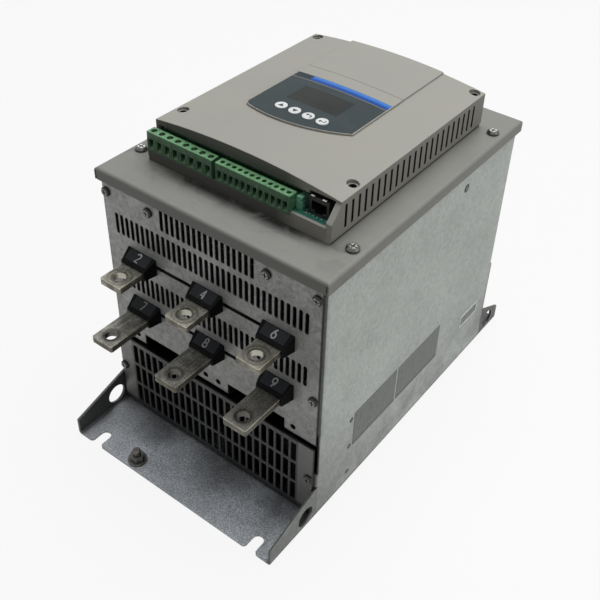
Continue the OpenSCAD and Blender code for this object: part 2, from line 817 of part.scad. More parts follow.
// Plan of a bar with a rounded end at y_tip, running to y_end
module bar_plan(y_tip, y_end) {
    y0 = min(y_tip, y_end);
    y1 = max(y_tip, y_end);
    tip = y_tip < y_end ? 1 : -1;
    translate([-bar_w / 2, tip > 0 ? y0 + bar_tip_r : y0]) square([bar_w, y1 - y0 - bar_tip_r]);
    translate([-bar_w / 2 + bar_tip_r, y0]) square([bar_w - 2 * bar_tip_r, y1 - y0]);
    for (s = [-1, 1]) translate([s * (bar_w / 2 - bar_tip_r), y_tip + tip * bar_tip_r]) circle(r = bar_tip_r);
}

// A bent terminal bar: outer hole near its tip, bolt hole over a module terminal
module terminal_bar(pole, points, hole_d, terminal_y) {
    y_tip = points[0][0];
    y_end = points[len(points) - 1][0];
    tip = y_tip < y_end ? 1 : -1;
    translate([pole_x[pole - 1], 0, 0]) difference() {
        intersection() {
            across(-bar_w / 2, bar_w) strip_2d(points, bar_t);
            linear_extrude(height = far) bar_plan(y_tip, y_end);
        }
        translate([0, y_tip + tip * hole_in, points[0][1] - bar_t]) cylinder(d = hole_d, h = 2 * bar_t);
        translate([0, terminal_y, points[len(points) - 1][1] - bar_t])
            cylinder(d = foot_hole_d, h = 2 * bar_t);
    }
}

module load_bar(pole) color("darkkhaki") terminal_bar(pole, [
    [load_y - load_reach, load_bar_z], [load_y + load_drop_in, load_bar_z],
    [load_y + load_drop_in, load_foot_z], [load_terminal_y + foot_over, load_foot_z]],
    load_hole_d, load_terminal_y);

module bypass_bar(pole) color("darkkhaki") terminal_bar(pole, [
    [load_y - bypass_reach, bypass_bar_z], [load_y + bypass_rise_in, bypass_bar_z],
    [load_y + bypass_rise_in, bypass_foot_z], [load_terminal_y + foot_over, bypass_foot_z]],
    bypass_hole_d, load_terminal_y);

module line_bar(pole) color("darkkhaki") terminal_bar(pole, [
    [line_y + line_reach, load_bar_z], [line_y - line_drop_in, load_bar_z],
    [line_y - line_drop_in, bypass_foot_z], [line_terminal_y - foot_over, bypass_foot_z]],
    load_hole_d, line_terminal_y);

// A bushing about its bar's middle, with the panel's face at y = 0 and its nose towards -Y
module bushing() {
    difference() {
        union() {
            intersection() {
                across(-bushing_w / 2, bushing_w) polygon([[0, bushing_rise], [-bushing_d, nose_rise],
                    [-bushing_d, -bushing_drop], [0, -bushing_drop]]);
                translate([0, 0, -bushing_rise]) linear_extrude(height = 2 * bushing_rise)
                    polygon([[-bushing_w / 2, 0], [bushing_w / 2, 0], [nose_w / 2, -bushing_d],
                        [-nose_w / 2, -bushing_d]]);
            }
            block([-neck_w / 2, -eps, -neck_drop], [neck_w / 2, panel_t + eps, neck_rise]);
            block([-bushing_w / 2, panel_t, -bushing_drop],
                [bushing_w / 2, panel_t + collar_d, bushing_rise]);
        }
        block([-bar_w / 2 - fit_gap, -far, -bar_t / 2 - fit_gap],
            [bar_w / 2 + fit_gap, far, bar_t / 2 + fit_gap]);
    }
}

module load_insulator(pole) color("black") translate([pole_x[pole - 1], load_y, load_bar_z]) bushing();

module bypass_insulator(pole) color("black") translate([pole_x[pole - 1], load_y, bypass_bar_z]) bushing();

module line_insulator(pole) color("black")
    translate([pole_x[pole - 1], line_y, load_bar_z]) rotate(180) bushing();

// Power stage

module heatsink() color("lightgray") {
    y0 = load_y + sink_load_in;
    y1 = line_y - sink_line_in;
    fin_room = 2 * (sink_half_w - leg_t) - fin_pitch;
    fins = floor(fin_room / fin_pitch);
    translate([0, y1, 0]) rotate([90, 0, 0]) linear_extrude(height = y1 - y0) {
        translate([-sink_half_w, sink_top_z - sink_plate]) square([2 * sink_half_w, sink_plate]);
        for (x = [-sink_half_w, sink_half_w - leg_t]) translate([x, chassis_t])
            square([leg_t, sink_top_z - chassis_t - sink_plate / 2]);
        for (i = [0:fins]) translate([(i - fins / 2) * fin_pitch - fin_t / 2, chassis_t + fin_gap])
            square([fin_t, sink_top_z - chassis_t - fin_gap - sink_plate / 2]);
    }
}

// A thyristor module: stepped body with three screw terminals on top
module thyristor_module(pole) color("dimgray") {
    step_h = 6;
    step_in = 3;
    well_h = 8;
    difference() {
        translate([pole_x[pole - 1] - module_w / 2, module_load_y, sink_top_z]) {
            cube([module_w, module_l, step_h]);
            translate([step_in, step_in, 0]) cube([module_w - 2 * step_in, module_l - 2 * step_in, module_h]);
        }
        for (y = [load_terminal_y, (load_terminal_y + line_terminal_y) / 2, line_terminal_y])
            translate([pole_x[pole - 1], y, module_top_z - well_h]) cylinder(d = foot_hole_d, h = 2 * well_h);
    }
}

// A current transformer that hangs on a load bar
module current_transformer(pole) color("midnightblue") {
    corner_r = 4;
    translate([pole_x[pole - 1], 0, 0]) upright(load_y + ct_in, ct_d) difference() {
        round_rect([-ct_w / 2, load_bar_z - ct_h / 2], [ct_w, ct_h], corner_r);
        translate([-bar_w / 2 - fit_gap, load_bar_z - bar_t / 2 - fit_gap])
            square([bar_w + 2 * fit_gap, bar_t + 2 * fit_gap]);
    }
}

// Fans, on the back of the fan grille

// Plan of a fan frame with its bore
module fan_ring_2d() {
    corner_r = 4;
    difference() {
        round_rect([-fan_size / 2, -fan_size / 2], [fan_size, fan_size], corner_r);
        circle(r = fan_bore_r);
    }
}

module fan_frame(side) color([0.12, 0.12, 0.13]) translate([side * fan_pitch_x / 2, 0, fan_z]) {
    strut_w = 4;
    spider_y = fan_y + fan_depth - fan_spider_t;
    bearing_l = fan_hub_l - 8;
    difference() {
        union() {
            upright(fan_y, fan_depth) fan_ring_2d();
            upright(spider_y, fan_spider_t) {
                circle(d = fan_hub_d);
                for (a = [45, 135]) rotate(a) square([2 * fan_bore_r + 1, strut_w], center = true);
            }
            rod_y(0, 0, fan_bearing_d, spider_y - bearing_l, spider_y + eps);
        }
        rod_y(0, 0, spindle_d + 2 * spindle_play, spider_y - bearing_l - 1, fan_y + fan_depth + 1);
    }
}

// One blade about the fan's axis, which is Z here
module fan_blade() {
    reach = 2 * fan_bore_r;
    intersection() {
        difference() {
            cylinder(r = fan_bore_r - fan_tip_gap, h = fan_hub_l);
            translate([0, 0, -1]) cylinder(d = fan_hub_d - 1, h = fan_hub_l + 2);
        }
        translate([0, 0, fan_hub_l / 2]) rotate([blade_angle, 0, 0])
            translate([0, -blade_t / 2, -fan_hub_l / 2]) cube([reach, blade_t, fan_hub_l]);
    }
}

module fan_rotor(side) color([0.16, 0.16, 0.17])
    translate([side * fan_pitch_x / 2, fan_hub_y, fan_z]) rotate([-90, 0, 0]) {
        cup_wall = 2;
        for (i = [0:fan_blades - 1]) rotate(i * 360 / fan_blades) fan_blade();
        difference() {
            cylinder(d = fan_hub_d, h = fan_hub_l);
            translate([0, 0, cup_wall]) cylinder(d = fan_hub_d - 2 * cup_wall, h = fan_hub_l);
        }
        translate([0, 0, cup_wall - eps]) cylinder(d = spindle_d, h = fan_depth - cup_wall - 3);
    }

// Boards under the lid

module board_tray() color("lightgray") {
    y0 = load_in_y;
    y1 = line_in_y;
    hole_d = panel_screw_d + 2 * screw_play;
    difference() {
        union() {
            block([-tray_w / 2, y0 + arm_l, tray_z], [tray_w / 2, y1 - arm_l, tray_z + tray_t]);
            for (s = [-1, 1]) {
                x = s * inner_screw_pitch / 2 - arm_w / 2;
                block([x, y0, tray_z], [x + arm_w, y1, tray_z + tray_t]);
                block([x, y0, tray_z], [x + arm_w, y0 + tray_t, screw_z + arm_w / 2]);
                block([x, y1 - tray_t, tray_z], [x + arm_w, y1, screw_z + arm_w / 2]);
                for (y = [y0 + arm_l + post_inset, y1 - arm_l - post_inset])
                    translate([s * (tray_w / 2 - post_inset), y, tray_z])
                        cylinder(d = 6, h = tray_t + post_h);
            }
        }
        for (s = [-1, 1]) rod_y(s * inner_screw_pitch / 2, screw_z, hole_d, y0 - 1, y1 + 1);
    }
}

// Firing board with its pulse transformers
module firing_board() color("darkgreen") {
    z = firing_board_z;
    y0 = load_in_y + arm_l + post_inset / 2;
    y1 = line_in_y - arm_l - post_inset / 2;
    board_l = y1 - y0;
    board_w = tray_w - post_inset / 2;
    part_w = 0.19 * board_w;
    part_l = 0.1 * board_l;
    part_h = board_t + 0.48 * (top_z - z - board_t);
    block([-board_w / 2, y0, z], [board_w / 2, y1, z + board_t]);
    for (i = [-1:1], y = [y0 + 0.18 * board_l, y0 + 0.68 * board_l])
        translate([0.28 * i * board_w - part_w / 2, y, z]) cube([part_w, part_l, part_h]);
}

// Control unit

// A block under the crowned top, raised or lowered by an offset
module under_crown(offset_r, y0, y1) {
    translate([0, y0, crown_z]) rotate([-90, 0, 0])
        cylinder(r = crown_r + offset_r, h = y1 - y0, $fn = crown_fn);
}

module control_base() color("silver") {
    x = house_half_w - base_inset;
    wall_x = house_half_w - housing_wall - cover_gap;
    wall_y1 = house_back_y - housing_wall - cover_gap;
    post_d = 6;
    cable_window = [60, 40];
    boss_top = body_h + well_floor - 3;
    difference() {
        union() {
            block([-x, house_y, body_h], [x, house_back_y - base_inset, cover_z]);
            block([-wall_x, house_y, body_h],
                [house_half_w - cheek_t - cover_gap, house_y + front_wall_t, body_h + front_wall_h]);
            intersection() {
                block([-wall_x, house_y, body_h], [wall_x, wall_y1, boss_top]);
                for (sx = [-1, 1], y = well_ys) translate([sx * well_x, y, body_h])
                    cylinder(d = boss_d - 1, h = boss_top - body_h);
            }
            for (sx = [-1, 1], y = [0.07, 0.776] * control_board_l)
                translate([sx * 0.625 * house_half_w, house_y + y, body_h])
                    cylinder(d = post_d, h = control_board_z - board_t);
        }
        for (sx = [-1, 1], y = well_ys) translate([sx * well_x, y, body_h + 1])
            cylinder(d = cover_screw_d + 2 * screw_play, h = far);
        block([-house_half_w, house_y - 1, notch_z],
            [control_x + control_w + plug_lift, skirt_y1, body_h + front_wall_h + 1]);
        translate([-cable_window[0] / 2, house_y + housing_l / 2, body_h - 1])
            cube([cable_window[0], cable_window[1], base_t + 2]);
    }
}

// Side outline of the cover with its sloped cheek
module cover_outline() {
    polygon([[house_y, cover_z], [house_y, body_h + cheek_h], [fascia_y, edge_z - cheek_drop],
        [fascia_y, edge_z + far], [house_back_y, edge_z + far], [house_back_y, cover_z]]);
}

// Plan of the bezel: straight sides, a bowed front edge and one rounded front corner
module bezel_plan(inset, y1) {
    hw = band_w / 2 - inset;
    r = arc_r - inset;
    corner_r = bezel_corner_r - inset;
    corner_x = -hw + corner_r;
    corner_y = arc_y - sqrt(pow(r - corner_r, 2) - pow(corner_x - arc_x, 2));
    touch = [arc_x, arc_y] + (([corner_x, corner_y] - [arc_x, arc_y]) * r) / (r - corner_r);
    difference() {
        intersection() {
            translate([-hw, arc_y - arc_r - 5]) square([2 * hw, y1 - arc_y + arc_r + 5]);
            translate([arc_x, arc_y]) circle(r = r, $fn = 360);
        }
        difference() {
            polygon([[-hw - 1, corner_y], [-hw - 1, touch[1] - 5], [touch[0], touch[1] - 5], touch,
                [corner_x, corner_y]]);
            translate([corner_x, corner_y]) circle(r = corner_r);
        }
    }
}

// The cover's shell: crowned outside, hollow inside, with the raised band at the back
module cover_shell() {
    inner_x = house_half_w - housing_wall;
    difference() {
        union() {
            intersection() {
                across(-house_half_w, housing_w) cover_outline();
                under_crown(0, house_y - 1, house_back_y + 1);
            }
            intersection() {
                block([-band_w / 2, bezel_y1 - 1, edge_z - 1],
                    [band_w / 2, house_back_y, edge_z + far]);
                under_crown(band_step, house_y, house_back_y + 1);
            }
        }
        intersection() {
            block([-inner_x, fascia_y + housing_wall, body_h],
                [inner_x, house_back_y - housing_wall, edge_z + far]);
            under_crown(-housing_wall, house_y, house_back_y);
        }
    }
}

// Openings in the front of the cover: the plug ledge, the slot under the fascia and the socket bay
module cover_front_cuts() {
    inner_x = house_half_w - housing_wall;
    cheek_x = house_half_w - cheek_t;
    deep_y = fascia_y + housing_wall + 1;
    block([-house_half_w - 1, house_y - 1, body_h + front_wall_h], [cheek_x, fascia_y, edge_z + far]);
    block([-house_half_w - 1, house_y - 1, notch_z], [-inner_x + 1, skirt_y1, edge_z]);
    block([-inner_x, house_y - 1, body_h], [cheek_x, deep_y, body_h + fascia_z]);
    block([socket_x0 - 0.5, house_y - 1, body_h], [cheek_x, deep_y, edge_z - 1]);
}

// Slots through both side walls
module side_vents() {
    for (i = [0:side_vents - 1]) {
        y = house_y + side_vent_in + i * (housing_l - side_vent_in - side_vent_out) / (side_vents - 1);
        z = body_h + side_vent_z;
        block([-far, y - side_vent_w / 2, z], [far, y + side_vent_w / 2, z + side_vent_h]);
    }
}

module control_cover() color("lightgray") {
    difference() {
        union() {
            difference() {
                cover_shell();
                cover_front_cuts();
                side_vents();
            }
            intersection() {
                translate([0, 0, seat_z - seat_t]) linear_extrude(height = far) bezel_plan(-3, bezel_y1 + 3);
                under_crown(-housing_wall / 2, house_y, house_back_y);
            }
            intersection() {
                for (sx = [-1, 1], y = well_ys) translate([sx * well_x, y, body_h + well_floor - 3])
                    cylinder(d = boss_d, h = far);
                under_crown(-housing_wall / 2, house_y, house_back_y + 10);
            }
        }
        translate([0, 0, seat_z]) linear_extrude(height = far) bezel_plan(-fit_gap, bezel_y1 + key_gap);
        translate([0, 0, body_h]) linear_extrude(height = far)
            bezel_plan(seat_margin, bezel_y1 - seat_margin);
        for (sx = [-1, 1], y = well_ys) translate([sx * well_x, y, body_h]) {
            translate([0, 0, well_floor]) cylinder(d = well_bore, h = far);
            translate([0, 0, well_top_z - well_step - body_h]) cylinder(d = well_d, h = far);
            cylinder(d = cover_screw_d + 2 * screw_play, h = far);
        }
    }
}

module control_board() color("teal") difference() {
    x = house_half_w - housing_wall - board_room;
    z = board_top_z - board_t;
    block([-x, house_y + front_wall_t + 0.3, z],
        [house_half_w - cheek_t - board_room, house_y + control_board_l, board_top_z]);
    for (sx = [-1, 1]) translate([sx * well_x, well_ys[0], z - 1]) cylinder(d = boss_d + 2, h = board_t + 2);
}

// A row of clamps: screw wells from above and wire entries from the front, each with a sloped lead-in in the
// skirt below it, and a tail for its header
module plug(x, w, ways, pitch, end_wall, well, entry_w) {
    entry_d = 5.5;
    entry_z = plug_z + 1.2;
    tail_x = max(x, tail_left_x);
    difference() {
        union() {
            block([x, plug_y, plug_z], [x + w, plug_y + plug_d, plug_top_z]);
            block([tail_x, plug_y, plug_z], [x + w, plug_tail_y, plug_tail_z]);
            block([x, plug_y, skirt_z], [x + w, skirt_y1, plug_z + 1]);
        }
        for (i = [0:ways - 1]) {
            cx = x + end_wall + (i + 0.5) * pitch;
            translate([cx, plug_y + plug_d / 2, plug_top_z - screw_well_h]) cylinder(d = well, h = far);
            block([cx - entry_w / 2, plug_y - 1, entry_z],
                [cx + entry_w / 2, plug_y + entry_d, entry_z + entry_h]);
            translate([cx - entry_w / 2, plug_y, entry_z]) rotate([90, 0, 90])
                linear_extrude(height = entry_w)
                    polygon([[-1, -lead_in - 1], [lead_in, 0], [lead_in, 1], [-1, 1]]);
        }
    }
}

relay_well_d = 0.62 * relay_pitch;
control_well_d = 0.66 * control_pitch;

module relay_plug() color("mediumseagreen")
    plug(relay_x, relay_w, relay_ways, relay_pitch, 0, relay_well_d, 0.52 * relay_pitch);

module control_plug() color("mediumseagreen")
    plug(control_x, control_w, control_ways, control_pitch, control_end, control_well_d, 0.6 * control_pitch);

// The fixed halves that the plugs push into
module plug_headers() color("seagreen") {
    header_d = 9;
    for (span = [[tail_left_x, relay_x + relay_w], [control_x, control_x + control_w + header_end]])
        block([span[0], plug_tail_y, board_top_z], [span[1], plug_tail_y + header_d, plug_tail_z]);
}

// One slotted clamp screw standing on the floor of its well
module terminal_screw(x, well) {
    slot = 0.7;
    d = well - 0.4;
    translate([x, plug_y + plug_d / 2, plug_top_z - screw_well_h]) difference() {
        cylinder(d = d, h = terminal_screw_h);
        translate([-d, -slot / 2, terminal_screw_h - 1]) cube([2 * d, slot, 2]);
    }
}

module terminal_screws() color("silver") {
    for (i = [0:relay_ways - 1]) terminal_screw(relay_x + (i + 0.5) * relay_pitch, relay_well_d);
    for (i = [0:control_ways - 1])
        terminal_screw(control_x + control_end + (i + 0.5) * control_pitch, control_well_d);
}

// A modular network socket that stands on the control board
module network_socket() color("dimgray") {
    y0 = fascia_y - 1;
    mouth_w = 11.8;
    mouth_z = 3.2;
    mouth_h = 7;
    latch_w = 6;
    latch_h = 2;
    mouth_d = 12;
    x = (socket_x0 + socket_x1) / 2;
    z = board_top_z + mouth_z;
    difference() {
        block([socket_x0, y0, board_top_z], [socket_x1, y0 + 15.5, board_top_z + socket_h]);
        block([x - mouth_w / 2, y0 - 1, z], [x + mouth_w / 2, y0 + mouth_d, z + mouth_h]);
        block([x - latch_w / 2, y0 - 1, z - latch_h], [x + latch_w / 2, y0 + mouth_d, z + 1]);
    }
}

// Keypad

// Plan of the slate overlay with its key holes and display opening
module overlay_plan(display_inset) {
    difference() {
        bezel_plan(bezel_border, overlay_y1);
        for (x = key_xs) translate([x, key_y]) circle(d = key_d + 2 * key_gap);
        translate([display_x - display_w / 2 + display_inset, display_y - display_h / 2 + display_inset])
            square([display_w - 2 * display_inset, display_h - 2 * display_inset]);
    }
}

// A skin that follows the band's crown between two depths
module crown_skin(depth0, depth1) {
    intersection() {
        translate([0, 0, edge_z]) linear_extrude(height = far) children();
        difference() {
            under_crown(band_step - depth0, house_y, house_back_y);
            under_crown(band_step - depth1, house_y - 1, house_back_y + 1);
        }
    }
}

module keypad_bezel() color("lightgray") difference() {
    intersection() {
        translate([0, 0, seat_z]) linear_extrude(height = far) bezel_plan(0, bezel_y1);
        under_crown(band_step, house_y, house_back_y);
    }
    intersection() {
        translate([0, 0, seat_z + 1]) linear_extrude(height = far)
            bezel_plan(bezel_border - fit_gap / 2, overlay_y1 + fit_gap);
        difference() {
            under_crown(band_step + 5, house_y, house_back_y);
            under_crown(band_step - overlay_t, house_y - 1, house_back_y + 1);
        }
    }
    for (x = key_xs) translate([x, key_y, seat_z - 1]) cylinder(d = key_d + 2 * key_gap, h = far);
    translate([display_x, display_y, seat_z - 1]) linear_extrude(height = far)
        square([display_w - 2 * display_ledge, display_h - 2 * display_ledge], center = true);
}

module keypad_panel() color("darkslategray") crown_skin(0, overlay_t - fit_gap / 3) overlay_plan(0);

module display_window() color([0.2, 0.2, 0.2]) crown_skin(0, overlay_t - fit_gap / 3)
    translate([display_x, display_y]) square([display_w - fit_gap, display_h - fit_gap], center = true);

module display_module() color("black") {
    rim = 0.6;
    w = display_w - 2 * display_ledge - 2 * rim;
    h = display_h - 2 * display_ledge - 2 * rim;
    translate([display_x - w / 2, display_y - h / 2, keypad_board_z])
        cube([w, h, seat_z + 2.5 - keypad_board_z]);
}

// Board under the bezel's seat with a dome switch below each key
module keypad_board() color("teal") {
    dome_h = seat_z - key_rest_gap - key_flange_t - key_travel - 0.2 - keypad_board_z;
    x = band_w / 2 - 2;
    block([-x, house_y + arc_in + 12, keypad_board_z - board_t], [x, bezel_y1 - 1, keypad_board_z]);
    for (kx = key_xs) translate([kx, key_y, keypad_board_z - eps]) cylinder(d = 5, h = dome_h);
}

// A round key with a retaining flange under the bezel
module key_cap(place) color("white") translate([key_xs[place - 1], key_y, 0]) {
    flange_z = seat_z - key_rest_gap - key_flange_t;
    translate([0, 0, flange_z]) cylinder(d = key_flange_d, h = key_flange_t);
    translate([0, 0, flange_z]) cylinder(d = key_d, h = crest_z + key_proud - flange_z);
}

// Fasteners

// The four panel and grille screws of one side, and the two tray screws, seen from the load end
module end_screws(face_y, grille_y, out) {
    l = panel_screw_l;
    for (s = [-1, 1]) {
        for (z = [screw_z, low_screw_z]) translate([s * (half_w - screw_in), face_y, z])
            rotate([out * 90, 0, 0]) pan_screw(panel_screw_d, l);
        translate([s * inner_screw_pitch / 2, face_y, screw_z])
            rotate([out * 90, 0, 0]) pan_screw(panel_screw_d, l);
        translate([s * (half_w - grille_screw_in), grille_y, grille_screw_z])
            rotate([out * 90, 0, 0]) pan_screw(panel_screw_d, l);
    }
}

module panel_screws() color("dimgray") {
    end_screws(load_y, load_grille_y, 1);
    end_screws(line_y, line_grille_y, -1);
}

module lid_screws() color("gainsboro")
    for (s = [-1, 1], y = [load_y + lid_screw_load, line_y - lid_screw_line])
        translate([s * lid_screw_x, y, body_h]) pan_screw(lid_screw_d, lid_screw_l);

module cover_screws() color("dimgray")
    for (sx = [-1, 1], y = well_ys)
        translate([sx * well_x, y, body_h + well_floor]) pan_screw(cover_screw_d, cover_screw_l);

module earth_stud() color("silver") {
    chamfer = 0.6;
    translate([stud_x, -flange_l / 2 + stud_in, 0]) rotate_extrude() polygon([[0, 0], [stud_d / 2, 0],
        [stud_d / 2, stud_h - chamfer], [stud_d / 2 - chamfer, stud_h], [0, stud_h]]);
}

module earth_washer() color("silver") translate([stud_x, -flange_l / 2 + stud_in, chassis_t]) difference() {
    cylinder(d = washer_d, h = washer_t);
    translate([0, 0, -1]) cylinder(d = stud_d + 2 * screw_play, h = washer_t + 2);
}

module earth_nut() color("silver")
    translate([stud_x, -flange_l / 2 + stud_in, chassis_t + washer_t]) difference() {
        cylinder(d = nut_af / cos(30), h = nut_h, $fn = 6);
        translate([0, 0, -1]) cylinder(d = stud_d + screw_play / 2, h = nut_h + 2);
    }

chassis();
lid();
load_panel();
fan_grille();
line_panel();
exhaust_grille();
for (pole = [1:3]) {
    load_insulator(pole);
    bypass_insulator(pole);
    line_insulator(pole);
    load_bar(pole);
    bypass_bar(pole);
    line_bar(pole);
    thyristor_module(pole);
    current_transformer(pole);
}
heatsink();
fan_frame(-1);  // fan_frame_left
fan_frame(1);  // fan_frame_right
fan_rotor(-1);  // fan_rotor_left
fan_rotor(1);  // fan_rotor_right
board_tray();
firing_board();
control_base();
control_cover();
control_board();
relay_plug();
control_plug();
plug_headers();
terminal_screws();
network_socket();
keypad_bezel();
keypad_panel();
display_window();
display_module();
keypad_board();
key_cap(1);  // key_up
key_cap(2);  // key_down
key_cap(3);  // key_back
key_cap(4);  // key_enter
panel_screws();
lid_screws();
cover_screws();
earth_stud();
earth_washer();
earth_nut();
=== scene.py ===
# %% [markdown]
# # A soft starter, dressed in Blender
# A soft starter feeds a large motor gently. This one lies on its mounting base: a folded zinc-coated box
# with slotted ends, bare bars for the cables, a painted lid, and a grey plastic control unit with plugs
# and a keypad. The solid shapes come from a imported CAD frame. This lesson gives each of them a finish,
# and adds what is too small or too thin for the frame: printing, contacts, clamps, rivets, plates and
# pressed marks.

# %% Load the frame
import math

import bmesh
import bpy
from mathutils import Matrix, Vector


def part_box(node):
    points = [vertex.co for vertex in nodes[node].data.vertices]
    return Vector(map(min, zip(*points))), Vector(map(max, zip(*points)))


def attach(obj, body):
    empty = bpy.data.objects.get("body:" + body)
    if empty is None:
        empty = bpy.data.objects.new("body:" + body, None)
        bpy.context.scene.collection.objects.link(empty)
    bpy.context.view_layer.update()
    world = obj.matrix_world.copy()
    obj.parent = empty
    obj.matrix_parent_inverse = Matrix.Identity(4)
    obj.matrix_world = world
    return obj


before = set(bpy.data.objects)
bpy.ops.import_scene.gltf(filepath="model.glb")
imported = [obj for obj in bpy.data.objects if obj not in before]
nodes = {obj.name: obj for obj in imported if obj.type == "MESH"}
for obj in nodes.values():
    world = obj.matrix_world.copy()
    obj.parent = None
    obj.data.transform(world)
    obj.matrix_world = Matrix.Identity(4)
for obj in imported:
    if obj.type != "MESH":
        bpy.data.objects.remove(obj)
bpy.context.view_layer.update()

# %% [markdown]
# ## A bench for nodes
# Every finish here is a Principled shader fed by a few texture nodes. Wiring them by hand takes many
# lines, so a small class keeps the wiring short: each method adds a node or two and returns the socket
# that carries the result. The most useful is the band, which turns any value into a mask, and a zone is a
# product of bands.


# %% Nodes and sockets
class Bench:
    """Adds nodes to one node tree."""

    def __init__(self, tree):
        self.tree = tree

    def feed(self, socket, value):
        if isinstance(value, bpy.types.NodeSocket):
            self.tree.links.new(value, socket)
        else:
            socket.default_value = value

    def node(self, kind, inputs=None, **settings):
        made = self.tree.nodes.new(kind)
        for setting, value in settings.items():
            setattr(made, setting, value)
        for socket, value in (inputs or {}).items():
            self.feed(made.inputs[socket], value)
        return made

    def sum(self, kind, first, second=0.0):
        return self.node("ShaderNodeMath", {0: first, 1: second}, operation=kind).outputs["Value"]

    def times(self, first, *others):
        for other in others:
            first = self.sum("MULTIPLY", first, other)
        return first

    def apart(self, value, centre=0.0):
        """How far a value is from a centre, on either side of it."""
        return self.sum("ABSOLUTE", self.sum("SUBTRACT", value, centre))

    def length(self, off_x, off_y):
        """Distance in plan, from its two offsets."""
        away = self.node("ShaderNodeCombineXYZ", {"X": off_x, "Y": off_y}).outputs["Vector"]
        return self.node("ShaderNodeVectorMath", {0: away}, operation="LENGTH").outputs["Value"]

    def band(self, value, low, high, out_low=0.0, out_high=1.0):
        """A plain number that goes from out_low to out_high as the value goes from low to high."""
        inputs = {"Value": value, "From Min": low, "From Max": high, "To Min": out_low, "To Max": out_high}
        return self.node("ShaderNodeMapRange", inputs, clamp=True).outputs["Result"]

    def zone(self, *bands):
        """The product of several bands, each given as for band."""
        return self.times(*[self.band(*each) for each in bands])


print("bench ready")

# %% [markdown]
# ## Finishes
# All textures read object coordinates. The frame's objects sit at the origin, so these are metres in the
# real object's own frame, and a scale of 300 means 300 specks or cells in each metre. A finish starts
# with a ramp of tones. Then dirt and wear, as they came on the real thing, and painted shade are laid over
# it one by one, each through its own mask. A tone is written as it looks on screen, 0 to 255 for red,
# green and blue.


# %% The finish class
def paint(red, green, blue):
    """A tone turned into the linear light that a shader mixes."""
    def linear(c):
        c /= 255
        return c / 12.92 if c <= 0.04045 else ((c + 0.055) / 1.055) ** 2.4
    return (linear(red), linear(green), linear(blue), 1.0)


class Finish(Bench):
    """One surface finish: a Principled shader, the colour so far and the nodes that feed them."""

    def __init__(self, name, **sockets):
        self.material = bpy.data.materials.new(name)
        self.material.use_nodes = True
        super().__init__(self.material.node_tree)
        self.shader = self.tree.nodes["Principled BSDF"]
        for socket, value in sockets.items():
            self.feed(self.shader.inputs[socket.replace("_", " ")], value)
        self.place = self.node("ShaderNodeTexCoord").outputs["Object"]
        self.colour = self.normal = None

    def axes(self):
        return self.node("ShaderNodeSeparateXYZ", {"Vector": self.place}).outputs

    def stretched(self, x, y, z):
        return self.node("ShaderNodeMapping", {"Vector": self.place, "Scale": (x, y, z)}).outputs["Vector"]

    def noise(self, scale, detail=3.0, rough=0.55, where=None, twist=0.0):
        inputs = {"Vector": where or self.place, "Scale": scale, "Detail": detail, "Roughness": rough,
                  "Distortion": twist}
        return self.node("ShaderNodeTexNoise", inputs).outputs["Fac"]

    def cells(self, scale, output="Color", where=None):
        inputs = {"Vector": where or self.place, "Scale": scale}
        return self.node("ShaderNodeTexVoronoi", inputs).outputs[output]

    def grey(self, colour):
        return self.node("ShaderNodeSeparateColor", {"Color": colour}).outputs["Red"]

    def ramp(self, value, *stops):
        """Tones at places from 0 to 1 along the value."""
        made = self.node("ShaderNodeValToRGB", {"Fac": value})
        ramp = made.color_ramp
        while len(ramp.elements) < len(stops):
            ramp.elements.new(1.0)
        for element, (at, tone) in zip(ramp.elements, stops):
            element.position = at
            element.color = paint(*tone)
        return made.outputs["Color"]

    def mix(self, share, first, second):
        return self.node("ShaderNodeMix", {0: share, 6: first, 7: second}, data_type="RGBA").outputs[2]

    def lay(self, tone, mask, share=1.0):
        """Lays a tone over the colour so far, as far as the mask and the share let it."""
        self.colour = self.mix(self.times(mask, share), self.colour, paint(*tone))

    def from_four(self, half_x, mid_y, half_y):
        """Distance in plan from the nearest of four places that mirror each other, such as four screws."""
        x, y, z = self.axes()
        return self.length(self.sum("SUBTRACT", self.apart(x), half_x),
                           self.sum("SUBTRACT", self.apart(y, mid_y), half_y))

    def edges(self, radius, samples=4, full=0.86):
        """About 1 along the sharp edges of a solid and 0 on its flat faces, and the softened normal."""
        soft = self.node("ShaderNodeBevel", {"Radius": radius}, samples=samples).outputs["Normal"]
        flat = self.node("ShaderNodeNewGeometry").outputs["Normal"]
        both = self.node("ShaderNodeVectorMath", {0: soft, 1: flat}, operation="DOT_PRODUCT")
        return self.band(both.outputs["Value"], 0.995, full), soft

    def ease(self, radius, tone, share):
        """Softens the edges in the light and lays a tone along them."""
        edge, self.normal = self.edges(radius)
        self.lay(tone, edge, share)

    def facing(self):
        """How squarely the surface faces along X, Y and Z, 0 to 1 each."""
        normal = self.node("ShaderNodeNewGeometry").outputs["True Normal"]
        parts = self.node("ShaderNodeSeparateXYZ", {"Vector": normal}).outputs
        return [self.sum("ABSOLUTE", part) for part in parts]

    def crevice(self, reach):
        """About 1 deep in corners and cracks, where shade falls, and 0 on open faces; finishes lay painted
        shade through it.
        """
        open_sky = self.node("ShaderNodeAmbientOcclusion", {"Distance": reach}, samples=6).outputs["AO"]
        return self.band(open_sky, 0.8, 0.3)

    def wear(self, rough, height, strength, depth):
        """Feeds the shader: the colour, a roughness given as for band, and a bump from a height."""
        inputs = {"Height": height, "Strength": strength, "Distance": depth}
        if self.normal is not None:
            inputs["Normal"] = self.normal
        fed = {"Base Color": self.colour, "Roughness": self.band(*rough),
               "Normal": self.node("ShaderNodeBump", inputs).outputs["Normal"]}
        for socket, value in fed.items():
            self.feed(self.shader.inputs[socket], value)
        return self.material


print("finish class ready")
